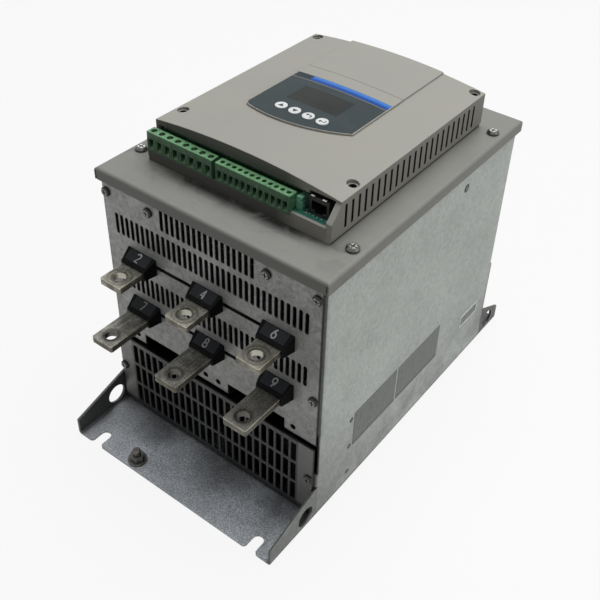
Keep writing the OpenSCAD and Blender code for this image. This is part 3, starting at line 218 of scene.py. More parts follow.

# %% [markdown]
# ## Zinc-coated sheet
# The chassis, the end panels and the grilles are steel sheet with a zinc coat. Zinc freezes in flat
# crystals, the spangle, each of which reflects a little differently, and handling leaves grey stains and
# fine scratches. A photograph of such sheet could be wrapped on, but a Voronoi texture is the crystal
# pattern itself: each cell takes one random grey. Two noises lay broad stains over it, and a stretched
# noise gives the scratches.

# %% Zinc-coated sheet
# Painted shade: the tone for corners, and the tone for the rims round the slots.
CORNER_SHADE, SLOT_RIM_SHADE = (48, 47, 45), (30, 29, 28)


def zinc_sheet(name, dark, light, stain, spangle, stained=0.4, scratch=0.3, dirt_and_shade=None, rim=None):
    """Spangled zinc. A given function lays dust, stains and painted shade on it, painted shade darkens its
    corners, and the rim is a tone along its sharp edges.
    """
    sheet = Finish(name, Metallic=0.45)
    crystal = sheet.grey(sheet.cells(spangle, where=sheet.stretched(1.0, 1.0, 0.8)))
    cloud = sheet.noise(17, 4, 0.6)
    fine = sheet.noise(520, 4, 0.7, twist=0.4)
    tone = sheet.sum("ADD", sheet.band(crystal, 0, 1, 0.0, 0.24), sheet.band(cloud, 0.3, 0.7, 0.0, 0.36))
    tone = sheet.sum("ADD", tone, sheet.band(fine, 0.3, 0.7, -0.05, 0.45))
    sheet.colour = sheet.ramp(tone, (0.0, dark), (1.0, light))
    sheet.lay(stain, sheet.band(sheet.noise(40, 6, 0.72, twist=0.8), 0.52, 0.72), stained)
    lines = sheet.noise(1.0, 2, 0.5, where=sheet.stretched(900, 60, 900), twist=0.2)
    marks = sheet.band(lines, 0.68, 0.73)
    sheet.lay(stain, marks, scratch)
    if dirt_and_shade:
        dirt_and_shade(sheet)
    # Painted shade in the corners that the ambient occlusion finds.
    sheet.lay(CORNER_SHADE, sheet.crevice(0.007), 0.6)
    edge, sheet.normal = sheet.edges(0.0005)
    # A rim tone, where given, is painted shade along the sharp edges, so the slots look wider and darker.
    if rim:
        edge = sheet.edges(0.001, 8, 0.96)[0]
    sheet.lay(rim or light, edge, 0.85 if rim else 0.3)
    rough = sheet.sum("ADD", crystal, cloud), 0.4, 1.5, 0.6, 0.42
    return sheet.wear(rough, sheet.sum("ADD", tone, marks), 0.1, 0.00006)


# The two tones printed are the painted shade for corners and for slot rims.
print("zinc ready, grime in corners and slots", CORNER_SHADE, SLOT_RIM_SHADE)

# %% [markdown]
# Dust lies at the foot of the walls and in smudges on the apron. Painted shade lies in corners, which an
# ambient occlusion node finds, on the sheared faces in the slots and along their rims, in the folds of the
# walls, on the inner sides of the wings and in the apron's creases. A painted mask could place it, but the
# object's own coordinates do that without any drawing: each patch is a zone in metres.

# %% Dirt and painted shade on the sheets
BODY_MID_Y = 0.011
# X, Y and reach of each smudge in metres
APRON_SMUDGES = ((-0.05, -0.125, 0.024), (0.016, -0.129, 0.032), (0.076, -0.13, 0.022))


def apron_dirt_and_shade(sheet):
    """The apron: a bluish speckled shelf with sooty smudges, darker towards the left, with painted shade
    towards the end panels, in its creases and in the corner by the right wing.
    """
    x, y, z = sheet.axes()
    walls = sheet.colour
    spark = sheet.band(sheet.noise(900, 4, 0.7), 0.4, 0.64)
    sheet.colour = sheet.mix(spark, paint(152, 157, 163), paint(238, 244, 251))
    sheet.lay((92, 96, 100), sheet.band(sheet.noise(20, 4, 0.6, twist=0.5), 0.4, 0.64), 0.34)
    wobble = sheet.band(sheet.noise(60, 4, 0.65, twist=0.6), 0.3, 0.7, -0.008, 0.008)
    soot = 0.0
    for at_x, at_y, reach in APRON_SMUDGES:
        away = sheet.length(sheet.sum("SUBTRACT", x, at_x), sheet.sum("SUBTRACT", y, at_y))
        soot = sheet.sum("MAXIMUM", soot, sheet.band(sheet.sum("ADD", away, wobble), reach, 0.2 * reach))
    sheet.lay((50, 51, 53), soot, 0.54)
    # Painted shade: darker towards the end panels.
    sheet.lay((48, 50, 53), sheet.band(sheet.apart(y, BODY_MID_Y), 0.14, 0.128), 0.3)
    sheet.lay((112, 113, 114), sheet.band(x, -0.045, -0.085, 0.0, 0.5))
    # Painted shade in the creases between apron and wings.
    sheet.lay((24, 24, 24), sheet.band(sheet.apart(x), 0.0945, 0.0985), 0.85)
    # Painted shade in the corner by the right wing, next to the grille.
    sheet.lay((20, 20, 20), sheet.zone((x, 0.086, 0.092), (y, -0.138, -0.128)), 0.85)
    sheet.colour = sheet.mix(sheet.band(z, 0.0042, 0.003, 0.0, 0.94), walls, sheet.colour)


def base_dirt_and_shade(sheet):
    """Dust on the foot and front of the walls and pits on the chassis; painted shade on the inner sides of
    the wings and in the folds; the apron.
    """
    x, y, z = sheet.axes()
    foot = sheet.zone((z, 0.085, 0.015), (sheet.noise(24, 5, 0.65, twist=0.6), 0.35, 0.7))
    sheet.lay((118, 120, 116), foot, 0.85)
    sheet.lay((116, 118, 114), sheet.zone((y, -0.055, -0.11), (z, 0.13, 0.03)), 0.5)
    # Painted shade on the inner sides of the wings.
    sheet.lay((60, 60, 61), sheet.band(sheet.apart(x), 0.0994, 0.0990), 0.85)
    pits = sheet.zone((sheet.noise(300, 4, 0.7), 0.58, 0.7), (sheet.noise(9, 3), 0.4, 0.62))
    sheet.lay((118, 121, 117), pits, 0.4)
    # Painted shade in the folds at both ends of the walls, and a darker strip of it at the far fold.
    sheet.lay((70, 71, 69), sheet.band(sheet.apart(y, BODY_MID_Y), 0.1262, 0.1274), 0.45)
    sheet.lay((66, 66, 65), sheet.band(y, BODY_MID_Y + 0.1240, BODY_MID_Y + 0.1258), 0.85)
    apron_dirt_and_shade(sheet)


def slot_shade(sheet):
    """Painted shade on the sheared faces in the slots, which are all that doesn't face along Y."""
    sheet.lay((20, 20, 19), sheet.band(sheet.facing()[1], 0.6, 0.4, 0.0, 0.9))


def grille_tones_and_shade(sheet):
    """The grilles have paler borders beside their slots, painted shade in their slots, and a painted shadow
    along their foot, where they stand in a dark gap.
    """
    x, y, z = sheet.axes()
    sheet.lay((146, 145, 141), sheet.band(sheet.apart(x), 0.0830, 0.0845, 0.0, 0.6))
    slot_shade(sheet)
    foot_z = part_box("fan_grille")[0].z
    # Painted shadow along the grille's foot.
    sheet.lay((16, 16, 17), sheet.band(z, foot_z + 0.0055, foot_z + 0.003), 0.85)


WALL_ZINC = zinc_sheet("zinc_wall_sheet", (162, 167, 162), (196, 201, 195), (146, 150, 145), 420, 0.3,
                       dirt_and_shade=base_dirt_and_shade)
PANEL_ZINC = zinc_sheet("zinc_panel_sheet", (118, 119, 117), (180, 180, 177), (84, 83, 81), 340, 0.4, 0.5,
                        slot_shade, SLOT_RIM_SHADE)
# The grille's tones are far darker than the panels': partly dirt, partly painted shade.
GRILLE_ZINC = zinc_sheet("zinc_grille_sheet", (64, 64, 63), (98, 98, 96), (42, 41, 40), 340, 0.5, 0.5,
                         grille_tones_and_shade, SLOT_RIM_SHADE)
# The tray's sheet is painted near-black: painted shade behind the grille.
TRAY_SHADE_ZINC = zinc_sheet("tray_sheet_painted_shade", (26, 26, 26), (48, 48, 47), (18, 18, 18), 340, 0.5, 0.3,
                       slot_shade)
print("zinc sheet finishes", [sheet.name for sheet in (WALL_ZINC, PANEL_ZINC, GRILLE_ZINC, TRAY_SHADE_ZINC)])

# %% [markdown]
# ## Painted lid
# The lid is steel with a warm grey satin paint, which sprays on with a faint orange peel. It carries dull
# smudges in the strip in front of the plugs, and a near-black painted shadow along the control unit's
# foot. The peel is a fine noise used as bump only. For the smudges a noise is multiplied by a zone along
# the object's own Y, so they gather in the strip between the lid's edge and the control unit, and the
# painted shadow is a narrower zone along the unit's foot.

# %% Painted lid
lid = Finish("lid_satin_paint", Specular_IOR_Level=0.45)
x, y, z = lid.axes()
peel, haze = lid.noise(900, 2, 0.5), lid.noise(14, 3, 0.6)
lid.colour = lid.ramp(haze, (0.25, (140, 140, 135)), (0.75, (152, 152, 147)))
smudge = lid.zone((y, -0.118, -0.09), (y, -0.07, -0.085), (lid.noise(42, 5, 0.65, twist=0.8), 0.5, 0.7))
lid.lay((92, 90, 86), smudge, 0.55)
# A near-black painted shadow along the foot of the control unit.
foot = lid.zone((y, -0.0980, -0.0895), (y, -0.086, -0.0865), (lid.apart(x, 0.006), 0.078, 0.045),
                (lid.noise(34, 4, 0.6, twist=0.7), 0.32, 0.52, 0.3, 1.0))
lid.lay((18, 17, 16), foot, 0.97)
lid.lay((105, 103, 98), lid.band(lid.noise(330, 2, 0.5), 0.7, 0.76), 0.3)
# Painted shade on the lips, below the top.
lid.lay((104, 101, 96), lid.band(z, 0.2294, 0.2272), 0.35)
# Painted shade in the corners.
lid.lay(CORNER_SHADE, lid.crevice(0.008), 0.35)
lid.ease(0.0006, (170, 169, 163), 0.25)
LID_PAINT = lid.wear((haze, 0.3, 0.7, 0.46, 0.58), peel, 0.1, 0.00006)
print("lid finish", LID_PAINT.name)

# %% [markdown]
# ## Moulded housing
# The control unit is moulded in light grey plastic with an eroded mould texture, a fine matt grain that
# hides finger marks. It has yellowed a little and gathers dust. The grain is a small Voronoi distance
# used as bump, and a broad noise shifts the grey towards a warmer one. Painted shade makes the inside
# near-black and darkens the screw wells, the recess round the plugs, the side vents, the sides with a
# line along their foot, and the corners. They are told apart by their place: inside the walls, close to
# a well, or in front of the fascia.

# %% Moulded housing
# Four screws: half their spacing along X, their middle along Y, half their spacing along Y
COVER_SCREWS = 0.0736, 0.0245, 0.0801
housing = Finish("housing_grey_plastic", Specular_IOR_Level=0.4)
x, y, z = housing.axes()
beside, sideways = housing.apart(x), housing.facing()[0]
grain = housing.cells(2600, "Distance")
housing.colour = housing.ramp(housing.noise(11, 3, 0.6), (0.3, (170, 169, 162)), (0.7, (176, 174, 165)))
housing.lay((140, 138, 130), housing.band(housing.noise(420, 4, 0.7), 0.62, 0.72), 0.18)
housing.ease(0.0006, (192, 190, 182), 0.3)
# Painted shade: the inside of the housing is near-black.
inside_shade = housing.zone((beside, 0.0799, 0.0796), (y, -0.0742, -0.0732), (z, 0.2559, 0.2553),
                      (y, 0.1087, 0.1081), (z, 0.2340, 0.2346))
housing.lay((20, 20, 20), inside_shade)
# Painted shade on the fascia and cheeks in front, round the plugs, less towards the right.
plug_recess_shade = housing.zone((y, -0.0760, -0.0764), (x, 0.0752, 0.0746), (x, 0.052, 0.035, 0.3, 1.0))
housing.lay((42, 41, 39), plug_recess_shade, 0.84)
# Painted shade on the faces inside the side vents.
vent_shade = housing.zone((z, 0.2352, 0.2358), (z, 0.2546, 0.2540), (beside, 0.0780, 0.0784),
                     (y, -0.0705, -0.0700), (sideways, 0.6, 0.4))
housing.lay((30, 30, 28), vent_shade, 0.9)
# Painted shade in the screw wells: near-black inside, and a darker ring round their mouths.
well = housing.from_four(*COVER_SCREWS)
housing.lay((22, 21, 20), housing.band(well, 0.0030, 0.0026, 0.0, 0.92))
housing.lay((96, 94, 88), housing.zone((well, 0.0044, 0.0040), (well, 0.0030, 0.0034)), 0.35)
# Painted shade on the sides, and a painted shadow line along their foot.
side_shade = housing.zone((sideways, 0.7, 0.9), (z, 0.2585, 0.2575))
housing.lay((86, 84, 79), side_shade, 0.5)
housing.lay((52, 51, 48), side_shade, housing.band(z, 0.2318, 0.2308))
# Painted shade in the corners and in the gap round the bezel.
housing.lay(CORNER_SHADE, housing.crevice(0.0022), 0.6)
HOUSING = housing.wear((grain, 0.0, 0.6, 0.62, 0.54), grain, 0.16, 0.00006)
print("housing finish", HOUSING.name)

# %% [markdown]
# ## Black bushings
# Each bar leaves the panel through a black bushing, moulded in glass-filled nylon. Such nylon is never a
# pure black: fibres at the skin make it slightly grey and blotchy, and corners scuff to a paler grey. The
# sides that face along X lie in each other's shade and stay darkest.

# %% Black bushings
bushing = Finish("bushing_black_nylon", Specular_IOR_Level=0.05)
fibre = bushing.noise(1.0, 3, 0.6, where=bushing.stretched(700, 260, 700))
bushing.colour = bushing.ramp(fibre, (0.3, (17, 17, 18)), (0.75, (32, 32, 34)))
bushing.lay((5, 5, 6), bushing.band(bushing.facing()[0], 0.6, 0.9, 0.0, 0.9))
bushing.ease(0.0007, (74, 76, 78), 0.3)
BUSHING = bushing.wear((fibre, 0.3, 0.7, 0.38, 0.52), fibre, 0.2, 0.00008)
print("bushing finish", BUSHING.name)

# %% [markdown]
# ## Tinned bars
# The terminal bars are copper with a dull tin coat. Tin shows the rolling direction as fine streaks along
# the bar, it darkens towards the warm bushings, and its sheared edges keep a yellowish shine. Washers
# have left a dull disc with a dark ring round each hole, and the hole's rim is dark. The sides of the
# bars carry painted shade. The streaks are a noise stretched along Y. Disc, ring, rim and bore follow
# from the distance to the hole, so each row of bars gets its own finish with its own hole centres.

# %% Tinned bars
BAR_X = 0.0628


def tinned_bar(name, hole_y, root_y, hole_r, ring_r, tones, bore_tone):
    """Tinned copper that leaves its bushing at root_y, with bolt holes at hole_y, BAR_X apart."""
    bar = Finish(name, Metallic=0.85)
    x, y, z = bar.axes()
    streak = bar.noise(1.0, 4, 0.6, where=bar.stretched(620, 34, 620), twist=0.3)
    cloud = bar.noise(75, 4, 0.6)
    tone = bar.sum("ADD", bar.band(streak, 0.25, 0.75, 0, 0.42), bar.band(cloud, 0.3, 0.7, 0, 0.58))
    tone = bar.sum("ADD", tone, bar.band(bar.noise(640, 3, 0.7), 0.3, 0.7, -0.22, 0.22))
    bar.colour = bar.ramp(tone, *zip((0.12, 0.5, 0.95), tones))
    bar.lay(tones[0], bar.band(x, 0.02, 0.05, 0.0, 0.4))
    near_root = bar.zone((y, root_y * 0.3 + hole_y * 0.7, root_y), (streak, 0.35, 0.62, 0.9, 0.25))
    bar.lay((50, 48, 44), near_root, 0.75)
    pole = bar.sum("MINIMUM", bar.sum("PINGPONG", x, BAR_X), bar.apart(bar.apart(x), BAR_X))
    from_hole = bar.length(pole, bar.sum("SUBTRACT", y, hole_y))
    radius = bar.sum("ADD", from_hole, bar.band(cloud, 0.3, 0.7, -0.0004, 0.0004))
    ring = bar.zone((radius, ring_r - 0.0016, ring_r - 0.0003), (radius, ring_r + 0.0016, ring_r + 0.0003))
    worn = bar.band(cloud, 0.36, 0.6, 0.25, 1.0)
    bar.lay((54, 52, 47), bar.times(ring, worn), 0.65)
    bar.lay((92, 90, 83), bar.times(bar.band(radius, ring_r - 0.0003, ring_r - 0.0016), worn), 0.3)
    bar.lay(tones[2], bar.band(y, hole_y, 2 * hole_y - root_y), 0.4)
    # Painted shade on the sides of the bars, which don't face along Z.
    upright = bar.band(bar.facing()[2], 0.7, 0.4)
    bar.lay((74, 68, 56), upright, bar.band(cloud, 0.36, 0.62, 0.9, 0.45))
    bar.ease(0.0006, (232, 225, 194), bar.band(cloud, 0.34, 0.56, 0.25, 0.9))
    rim = bar.zone((radius, hole_r + 0.0022, hole_r + 0.0012), (cloud, 0.34, 0.58, 1.0, 0.55))
    bar.lay((36, 34, 30), rim, 0.85)
    bore = bar.times(upright, bar.band(from_hole, hole_r + 0.0008, hole_r + 0.0004))
    bar.lay(bore_tone, bore, 0.85)
    return bar.wear((tone, 0, 1, 0.52, 0.34), bar.sum("ADD", tone, ring), 0.22, 0.00008)


PALE_TIN = (92, 90, 84), (146, 144, 135), (206, 204, 190)
GREY_TIN = (78, 77, 73), (126, 125, 119), (182, 181, 172)
PALE_BORE, GREY_BORE = (206, 203, 190), (104, 102, 96)
LOAD_BAR = tinned_bar("tinned_load_bar", -0.1396, -0.119, 0.00475, 0.0088, PALE_TIN, PALE_BORE)
BYPASS_BAR = tinned_bar("tinned_bypass_bar", -0.1539, -0.119, 0.0045, 0.0066, GREY_TIN, GREY_BORE)
LINE_BAR = tinned_bar("tinned_line_bar", 0.1595, 0.141, 0.00475, 0.0088, PALE_TIN, PALE_BORE)
print("bar finishes", LOAD_BAR.name, BYPASS_BAR.name, LINE_BAR.name)

# %% [markdown]
# ## Inside the box
# Through the slots one sees the finned heat sink, the thyristor modules, the current transformers, the
# fans and the boards. They need less care than the outside, but each is its own substance: an extrusion
# has lines along its length, epoxy and nylon have a soft gloss, and a circuit board has copper tracks
# under green lacquer.


# %% Extruded aluminium, cases and fan plastic
def plain_case(name, dark, light, scale, rough_low, rough_high, **sockets):
    """A plain moulding or print, mottled between two tones."""
    case = Finish(name, **sockets)
    mottle = case.noise(scale, 4, 0.6)
    case.colour = case.ramp(mottle, (0.3, dark), (0.7, light))
    case.ease(0.0005, light, 0.35)
    return case.wear((mottle, 0.3, 0.7, rough_low, rough_high), mottle, 0.15, 0.0001)


# The heat sink, module cases, transformer cases and fans are kept much darker than these materials are, and
# the fans almost without gloss: painted shade inside the box.
extrusion = Finish("extruded_aluminium", Metallic=0.85)
draw_lines = extrusion.noise(1.0, 4, 0.6, where=extrusion.stretched(900, 8, 900))
extrusion.colour = extrusion.ramp(draw_lines, (0.3, (70, 71, 72)), (0.7, (104, 105, 106)))
EXTRUSION = extrusion.wear((draw_lines, 0.3, 0.7, 0.3, 0.48), draw_lines, 0.2, 0.0001)
MODULE_CASE = plain_case("module_black_case", (22, 22, 23), (38, 38, 38), 300, 0.4, 0.55)
TRANSFORMER_CASE = plain_case("transformer_blue_case", (14, 18, 34), (24, 30, 54), 240, 0.35, 0.5)
FAN_PLASTIC = plain_case("fan_black_plastic", (5, 5, 6), (11, 11, 12), 350, 0.5, 0.65,
                         Specular_IOR_Level=0.03)
DISPLAY_CASE = plain_case("display_black_case", (20, 21, 22), (32, 33, 34), 400, 0.25, 0.4)
SOCKET_SHELL = plain_case("socket_black_shell", (20, 20, 21), (36, 36, 37), 500, 0.3, 0.45)
print("inner finishes", EXTRUSION.name, MODULE_CASE.name, TRANSFORMER_CASE.name, FAN_PLASTIC.name)

# %% Circuit boards
TRACK_PITCH = 150
board = Finish("board_teal_lacquer", Specular_IOR_Level=0.55)
bricks = {"Vector": board.place, "Scale": TRACK_PITCH, "Mortar Size": 0.03, "Color1": (1, 1, 1, 1),
          "Color2": (0.8, 0.8, 0.8, 1), "Mortar": (0, 0, 0, 1)}
runs = board.node("ShaderNodeTexBrick", bricks, offset=0.37, squash=0.6).outputs["Color"]
copper = board.band(board.grey(runs), 0.1, 0.5, 1.0, 0.0)
pads = board.band(board.cells(TRACK_PITCH * 1.7, "Distance"), 0.16, 0.12)
weave = board.noise(600, 3, 0.6)
board.colour = paint(34, 112, 98)
board.lay((86, 158, 138), copper, 0.7)
board.lay((176, 190, 180), pads, 0.6)
board.lay((12, 46, 42), board.band(weave, 0.3, 0.8, 0.0, 0.25))
BOARD = board.wear((weave, 0.3, 0.7, 0.25, 0.4), board.sum("ADD", copper, pads), 0.3, 0.0001)
print("board finish", BOARD.name)

# %% [markdown]
# ## Plugs, screws and keys
# The plugs are green nylon, glossy on their flat tops and dusty in the wire entries, with painted shade
# on their fronts below the top. The lid screws are bright zinc, and the panel screws have a dull grey
# coat with painted shade in the cross and on the sides of their heads. The keys are white caps.

# %% Green plugs
plug = Finish("plug_green_nylon", Specular_IOR_Level=0.5)
x, y, z = plug.axes()
cloud = plug.noise(160, 4, 0.6)
plug.colour = plug.ramp(cloud, (0.3, (98, 152, 106)), (0.7, (122, 176, 128)))
dusty = plug.band(plug.noise(900, 3, 0.6), 0.52, 0.7)
plug.lay((128, 158, 128), dusty, 0.28)
# Painted shade on the plugs' fronts, below their top face.
plug_front_shade = plug.zone((z, 0.2531, 0.2526), (plug.noise(230, 5, 0.7, twist=0.8), 0.35, 0.65, 0.5, 0.85))
plug.lay((26, 64, 36), plug_front_shade)
plug.lay((34, 76, 42), plug.band(plug.noise(480, 3, 0.65, twist=0.5), 0.56, 0.66), 0.7)
plug.ease(0.00035, (140, 184, 142), 0.35)
PLUG_GREEN = plug.wear((cloud, 0.3, 0.7, 0.32, 0.48), dusty, 0.15, 0.00006)
HEADER_GREEN = plain_case("header_pale_green", (130, 200, 168), (158, 222, 192), 260, 0.35, 0.5)
print("plug finishes", PLUG_GREEN.name, HEADER_GREEN.name)

# %% Metal screws and contacts
LID_SCREWS = 0.093, 0.013, 0.0935


def small_metal(name, dark, light, rough_low, rough_high, grime, metallic=0.9, rim=None, hollow_shade=0.8,
                faces=None):
    """Turned or stamped metal with grain and grime spots, and painted shade in its corners. A lid screw has
    a dark rim outside a radius, and a head that faces along axis 0, X, or 1, Y, gets painted shade wherever
    it turns away from it."""
    metal = Finish(name, Metallic=metallic)
    grain = metal.noise(700, 4, 0.65)
    metal.colour = metal.ramp(grain, (0.3, dark), (0.7, light))
    metal.lay((58, 54, 48), metal.band(metal.noise(260, 3, 0.6), 0.56, 0.7), grime)
    metal.ease(0.0003, light, 0.4)
    # Painted shade in the recesses and corners.
    metal.lay((26, 25, 23), metal.crevice(0.002), hollow_shade)
    if faces is not None:
        # Painted shade on the sides of the head.
        metal.lay((34, 33, 31), metal.band(metal.facing()[faces], 0.99, 0.9, 0.0, 0.9))
    if rim:
        metal.lay((44, 42, 40), metal.band(metal.from_four(*LID_SCREWS), rim, rim + 0.0008, 0.0, 0.85))
    return metal.wear((grain, 0.3, 0.7, rough_low, rough_high), grain, 0.12, 0.00005)


BRIGHT_ZINC = small_metal("bright_zinc_screws", (186, 185, 182), (238, 237, 234), 0.2, 0.34, 0.25,
                          rim=0.0024, hollow_shade=0.4)
DULL_SCREW = small_metal("dull_grey_screws", (88, 88, 86), (150, 149, 145), 0.26, 0.42, 0.6, faces=1)
DARK_SCREW = small_metal("dark_cover_screws", (34, 34, 34), (58, 58, 57), 0.4, 0.55, 0.5)
CLAMP_METAL = small_metal("clamp_nickel", (150, 152, 146), (198, 200, 194), 0.25, 0.4, 0.35)
# The cages' dark tones are partly tarnish and partly painted shade in the wire entries.
CAGE_METAL = small_metal("cage_nickel_tarnish_and_shade", (40, 42, 40), (72, 74, 71), 0.35, 0.5, 0.5)
CONTACT_GOLD = small_metal("contact_gold", (176, 142, 70), (214, 184, 112), 0.22, 0.35, 0.2)
STUD_STEEL = small_metal("earth_stud_steel", (66, 66, 64), (122, 121, 117), 0.36, 0.5, 0.6)
SHIELD_TIN = small_metal("socket_shield_tin", (38, 38, 37), (74, 73, 72), 0.34, 0.5, 0.6)
print("metal finishes", BRIGHT_ZINC.name, DULL_SCREW.name, STUD_STEEL.name)

# %% [markdown]
# ## Keypad film
# A thin printed film covers the keypad: slate grey, a fine light line near its top, and a stripe above it
# that is dark at the left and bright blue for the rest. One film means one finish, so the print is laid
# out by the object's own X and Y, as a printer lays out the sheet.

# %% Keypad film
LINE_Y, STRIPE_Y, STRIPE_TOP, STRIPE_X = 0.0304, 0.0312, 0.0382, -0.0275
film = Finish("keypad_slate_film", Specular_IOR_Level=0.08)
x, y, z = film.axes()
speckle = film.noise(1500, 2, 0.5)
slate = film.ramp(speckle, (0.3, (61, 71, 74)), (0.7, (69, 79, 82)))
blue = film.ramp(film.band(y, STRIPE_Y, STRIPE_TOP), (0.0, (40, 80, 160)), (0.45, (46, 96, 186)),
                 (0.62, (74, 134, 222)), (1.0, (84, 146, 230)))
stripe = film.mix(film.band(x, STRIPE_X, STRIPE_X + 0.0012), paint(52, 60, 66), blue)
film.colour = film.mix(film.band(y, STRIPE_Y - 0.00008, STRIPE_Y + 0.00008), slate, stripe)
line = film.zone((y, LINE_Y - 0.0004, LINE_Y - 0.0002), (y, LINE_Y + 0.0004, LINE_Y + 0.0002))
film.lay((150, 152, 150), line)
rub = film.band(film.noise(60, 4, 0.6, twist=0.5), 0.5, 0.72)
film.lay((120, 126, 128), rub, 0.12)
FILM = film.wear((rub, 0.0, 1.0, 0.42, 0.52), speckle, 0.08, 0.00003)
print("film finish", FILM.name)

# %% Display window and keys
window = Finish("display_smoked_window", Specular_IOR_Level=0.08)
wave = {"Vector": window.place, "Scale": 260.0}
rows = window.node("ShaderNodeTexWave", wave, bands_direction="Y").outputs["Fac"]
veil = window.noise(30, 3, 0.5)
window.colour = window.ramp(veil, (0.3, (51, 53, 53)), (0.7, (58, 60, 59)))
window.lay((52, 52, 50), rows, 0.08)
WINDOW = window.wear((veil, 0.3, 0.7, 0.22, 0.34), rows, 0.02, 0.00002)

key = Finish("key_white_cap", Specular_IOR_Level=0.5)
soil = key.noise(240, 4, 0.6)
key.colour = key.ramp(soil, (0.3, (236, 239, 240)), (0.75, (250, 252, 253)))
key.ease(0.0005, (186, 188, 186), 0.3)
KEY_WHITE = key.wear((soil, 0.3, 0.7, 0.36, 0.5), soil, 0.06, 0.00004)
print("keypad finishes", WINDOW.name, KEY_WHITE.name)

# %% [markdown]
# ## Dress the frame
# The frame's own solids keep their shapes and only change their finish. A table from finish to node names
# is the easiest to read and to check: a node that is missing from it would keep the plain export colour.

# %% Dress the frame
poles = (1, 2, 3)
dress = {
    WALL_ZINC: ["chassis"],
    PANEL_ZINC: ["load_panel", "line_panel"],
    GRILLE_ZINC: ["fan_grille", "exhaust_grille"],
    TRAY_SHADE_ZINC: ["board_tray"],
    LID_PAINT: ["lid"],
    HOUSING: ["control_base", "control_cover", "keypad_bezel"],
    BUSHING: [f"{row}_insulator_{p}" for row in ("load", "bypass", "line") for p in poles],
    LOAD_BAR: [f"load_bar_{p}" for p in poles],
    BYPASS_BAR: [f"bypass_bar_{p}" for p in poles],
    LINE_BAR: [f"line_bar_{p}" for p in poles],
    EXTRUSION: ["heatsink"],
    MODULE_CASE: [f"thyristor_module_{p}" for p in poles],
    TRANSFORMER_CASE: [f"current_transformer_{p}" for p in poles],
    FAN_PLASTIC: [f"fan_{part}_{side}" for part in ("frame", "rotor") for side in ("left", "right")],
    BOARD: ["firing_board", "control_board", "keypad_board"],
    PLUG_GREEN: ["relay_plug", "control_plug"],
    HEADER_GREEN: ["plug_headers"],
    CLAMP_METAL: ["terminal_screws"],
    SOCKET_SHELL: ["network_socket"],
    FILM: ["keypad_panel"],
    WINDOW: ["display_window"],
    DISPLAY_CASE: ["display_module"],
    KEY_WHITE: ["key_up", "key_down", "key_back", "key_enter"],
    DULL_SCREW: ["panel_screws"],
    BRIGHT_ZINC: ["lid_screws"],
    DARK_SCREW: ["cover_screws"],
    STUD_STEEL: ["earth_stud", "earth_washer", "earth_nut"],
}
for finish, names in dress.items():
    for name in names:
        mesh = nodes[name].data
        mesh.materials.clear()
        mesh.materials.append(finish)
bare = set(nodes) - {name for names in dress.values() for name in names}
print("dressed", len(nodes) - len(bare), "bare", sorted(bare))

# %% [markdown]
# ## Smooth shading on the frame
# The frame arrives as triangles with hard shading between them. A crown or a round hole should look
# round, and a fold should look sharp. Marking as sharp only the edges that turn by more than 30 degrees
# gives both, and it leaves every vertex where it is.

# %% Smooth shading on the frame
for node in nodes.values():
    node.data.shade_smooth()
    node.data.set_sharp_from_angle(angle=math.radians(30))
print("smooth shaded", len(nodes))

# %% [markdown]
# ## Making small pieces
# Every added piece is built the same way: vertices in metres in the frame's own coordinates, then one
# call that makes the object, gives it a finish and lets it ride on a body. A piece that lies on a face is
# drawn flat first, with U to the right, V up and N out of the face, and then set on that face. Most shapes
# are rings of vertices that are stitched together with faces.


# %% A piece, and a face to set it on
def make_piece(name, bm, finish, body="unit"):
    bmesh.ops.recalc_face_normals(bm, faces=bm.faces)
    mesh = bpy.data.meshes.new(name)
    bm.to_mesh(mesh)
    bm.free()
    mesh.materials.append(finish)
    mesh.shade_smooth()
    mesh.set_sharp_from_angle(angle=math.radians(35))
    piece = bpy.data.objects.new(name, mesh)
    bpy.context.scene.collection.objects.link(piece)
    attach(piece, body)
    return piece


def face_matrix(origin, u, v):
    """Sets a flat drawing on a face: its right is u, its up is v, and it rises along u x v."""
    u, v = Vector(u).normalized(), Vector(v).normalized()
    matrix = Matrix((u, v, u.cross(v))).transposed().to_4x4()
    matrix.translation = Vector(origin)
    return matrix


print("piece helpers ready")


# %% Rings, slabs and turned shapes
def ring(bm, outline, height, matrix):
    return [bm.verts.new(matrix @ Vector((a, b, height))) for a, b in outline]


def stitch(bm, rings, closed=False):
    """Faces between each ring and the next. A ring of one vertex is a tip; closed joins last to first."""
    for lower, upper in zip(rings, rings[1:] + (rings[:1] if closed else [])):
        count = max(len(lower), len(upper))
        for i in range(count):
            j = (i + 1) % count
            corners = [row[k % len(row)] for row, k in ((lower, i), (lower, j), (upper, j), (upper, i))]
            bm.faces.new(list(dict.fromkeys(corners)))


def slab(bm, outline, low, high, matrix, bevel=0.0):
    """A flat outline made thick from low to high, with its upper rim eased by a bevel."""
    cx = sum(a for a, b in outline) / len(outline)
    cy = sum(b for a, b in outline) / len(outline)

    def drawn_in(a, b):
        away = Vector((a - cx, b - cy))
        away = away * max(0.0, 1 - bevel / max(away.length, 1e-6))
        return cx + away.x, cy + away.y

    rings = [ring(bm, outline, low, matrix), ring(bm, outline, high - bevel, matrix)]
    if bevel:
        rings.append(ring(bm, [drawn_in(a, b) for a, b in outline], high, matrix))
    stitch(bm, rings)
    bm.faces.new(rings[0][::-1])
    bm.faces.new(rings[-1])


def rect(a0, b0, a1, b1):
    return [(a0, b0), (a1, b0), (a1, b1), (a0, b1)]


def round_box(w, h, r, steps=5):
    """Outline of a rectangle with round corners about the origin."""
    points = []
    for quarter, (sx, sy) in enumerate(((1, 1), (-1, 1), (-1, -1), (1, -1))):
        for i in range(steps + 1):
            a = math.radians(90 * (quarter + i / steps))
            points.append((sx * (w / 2 - r) + r * math.cos(a), sy * (h / 2 - r) + r * math.sin(a)))
    return points


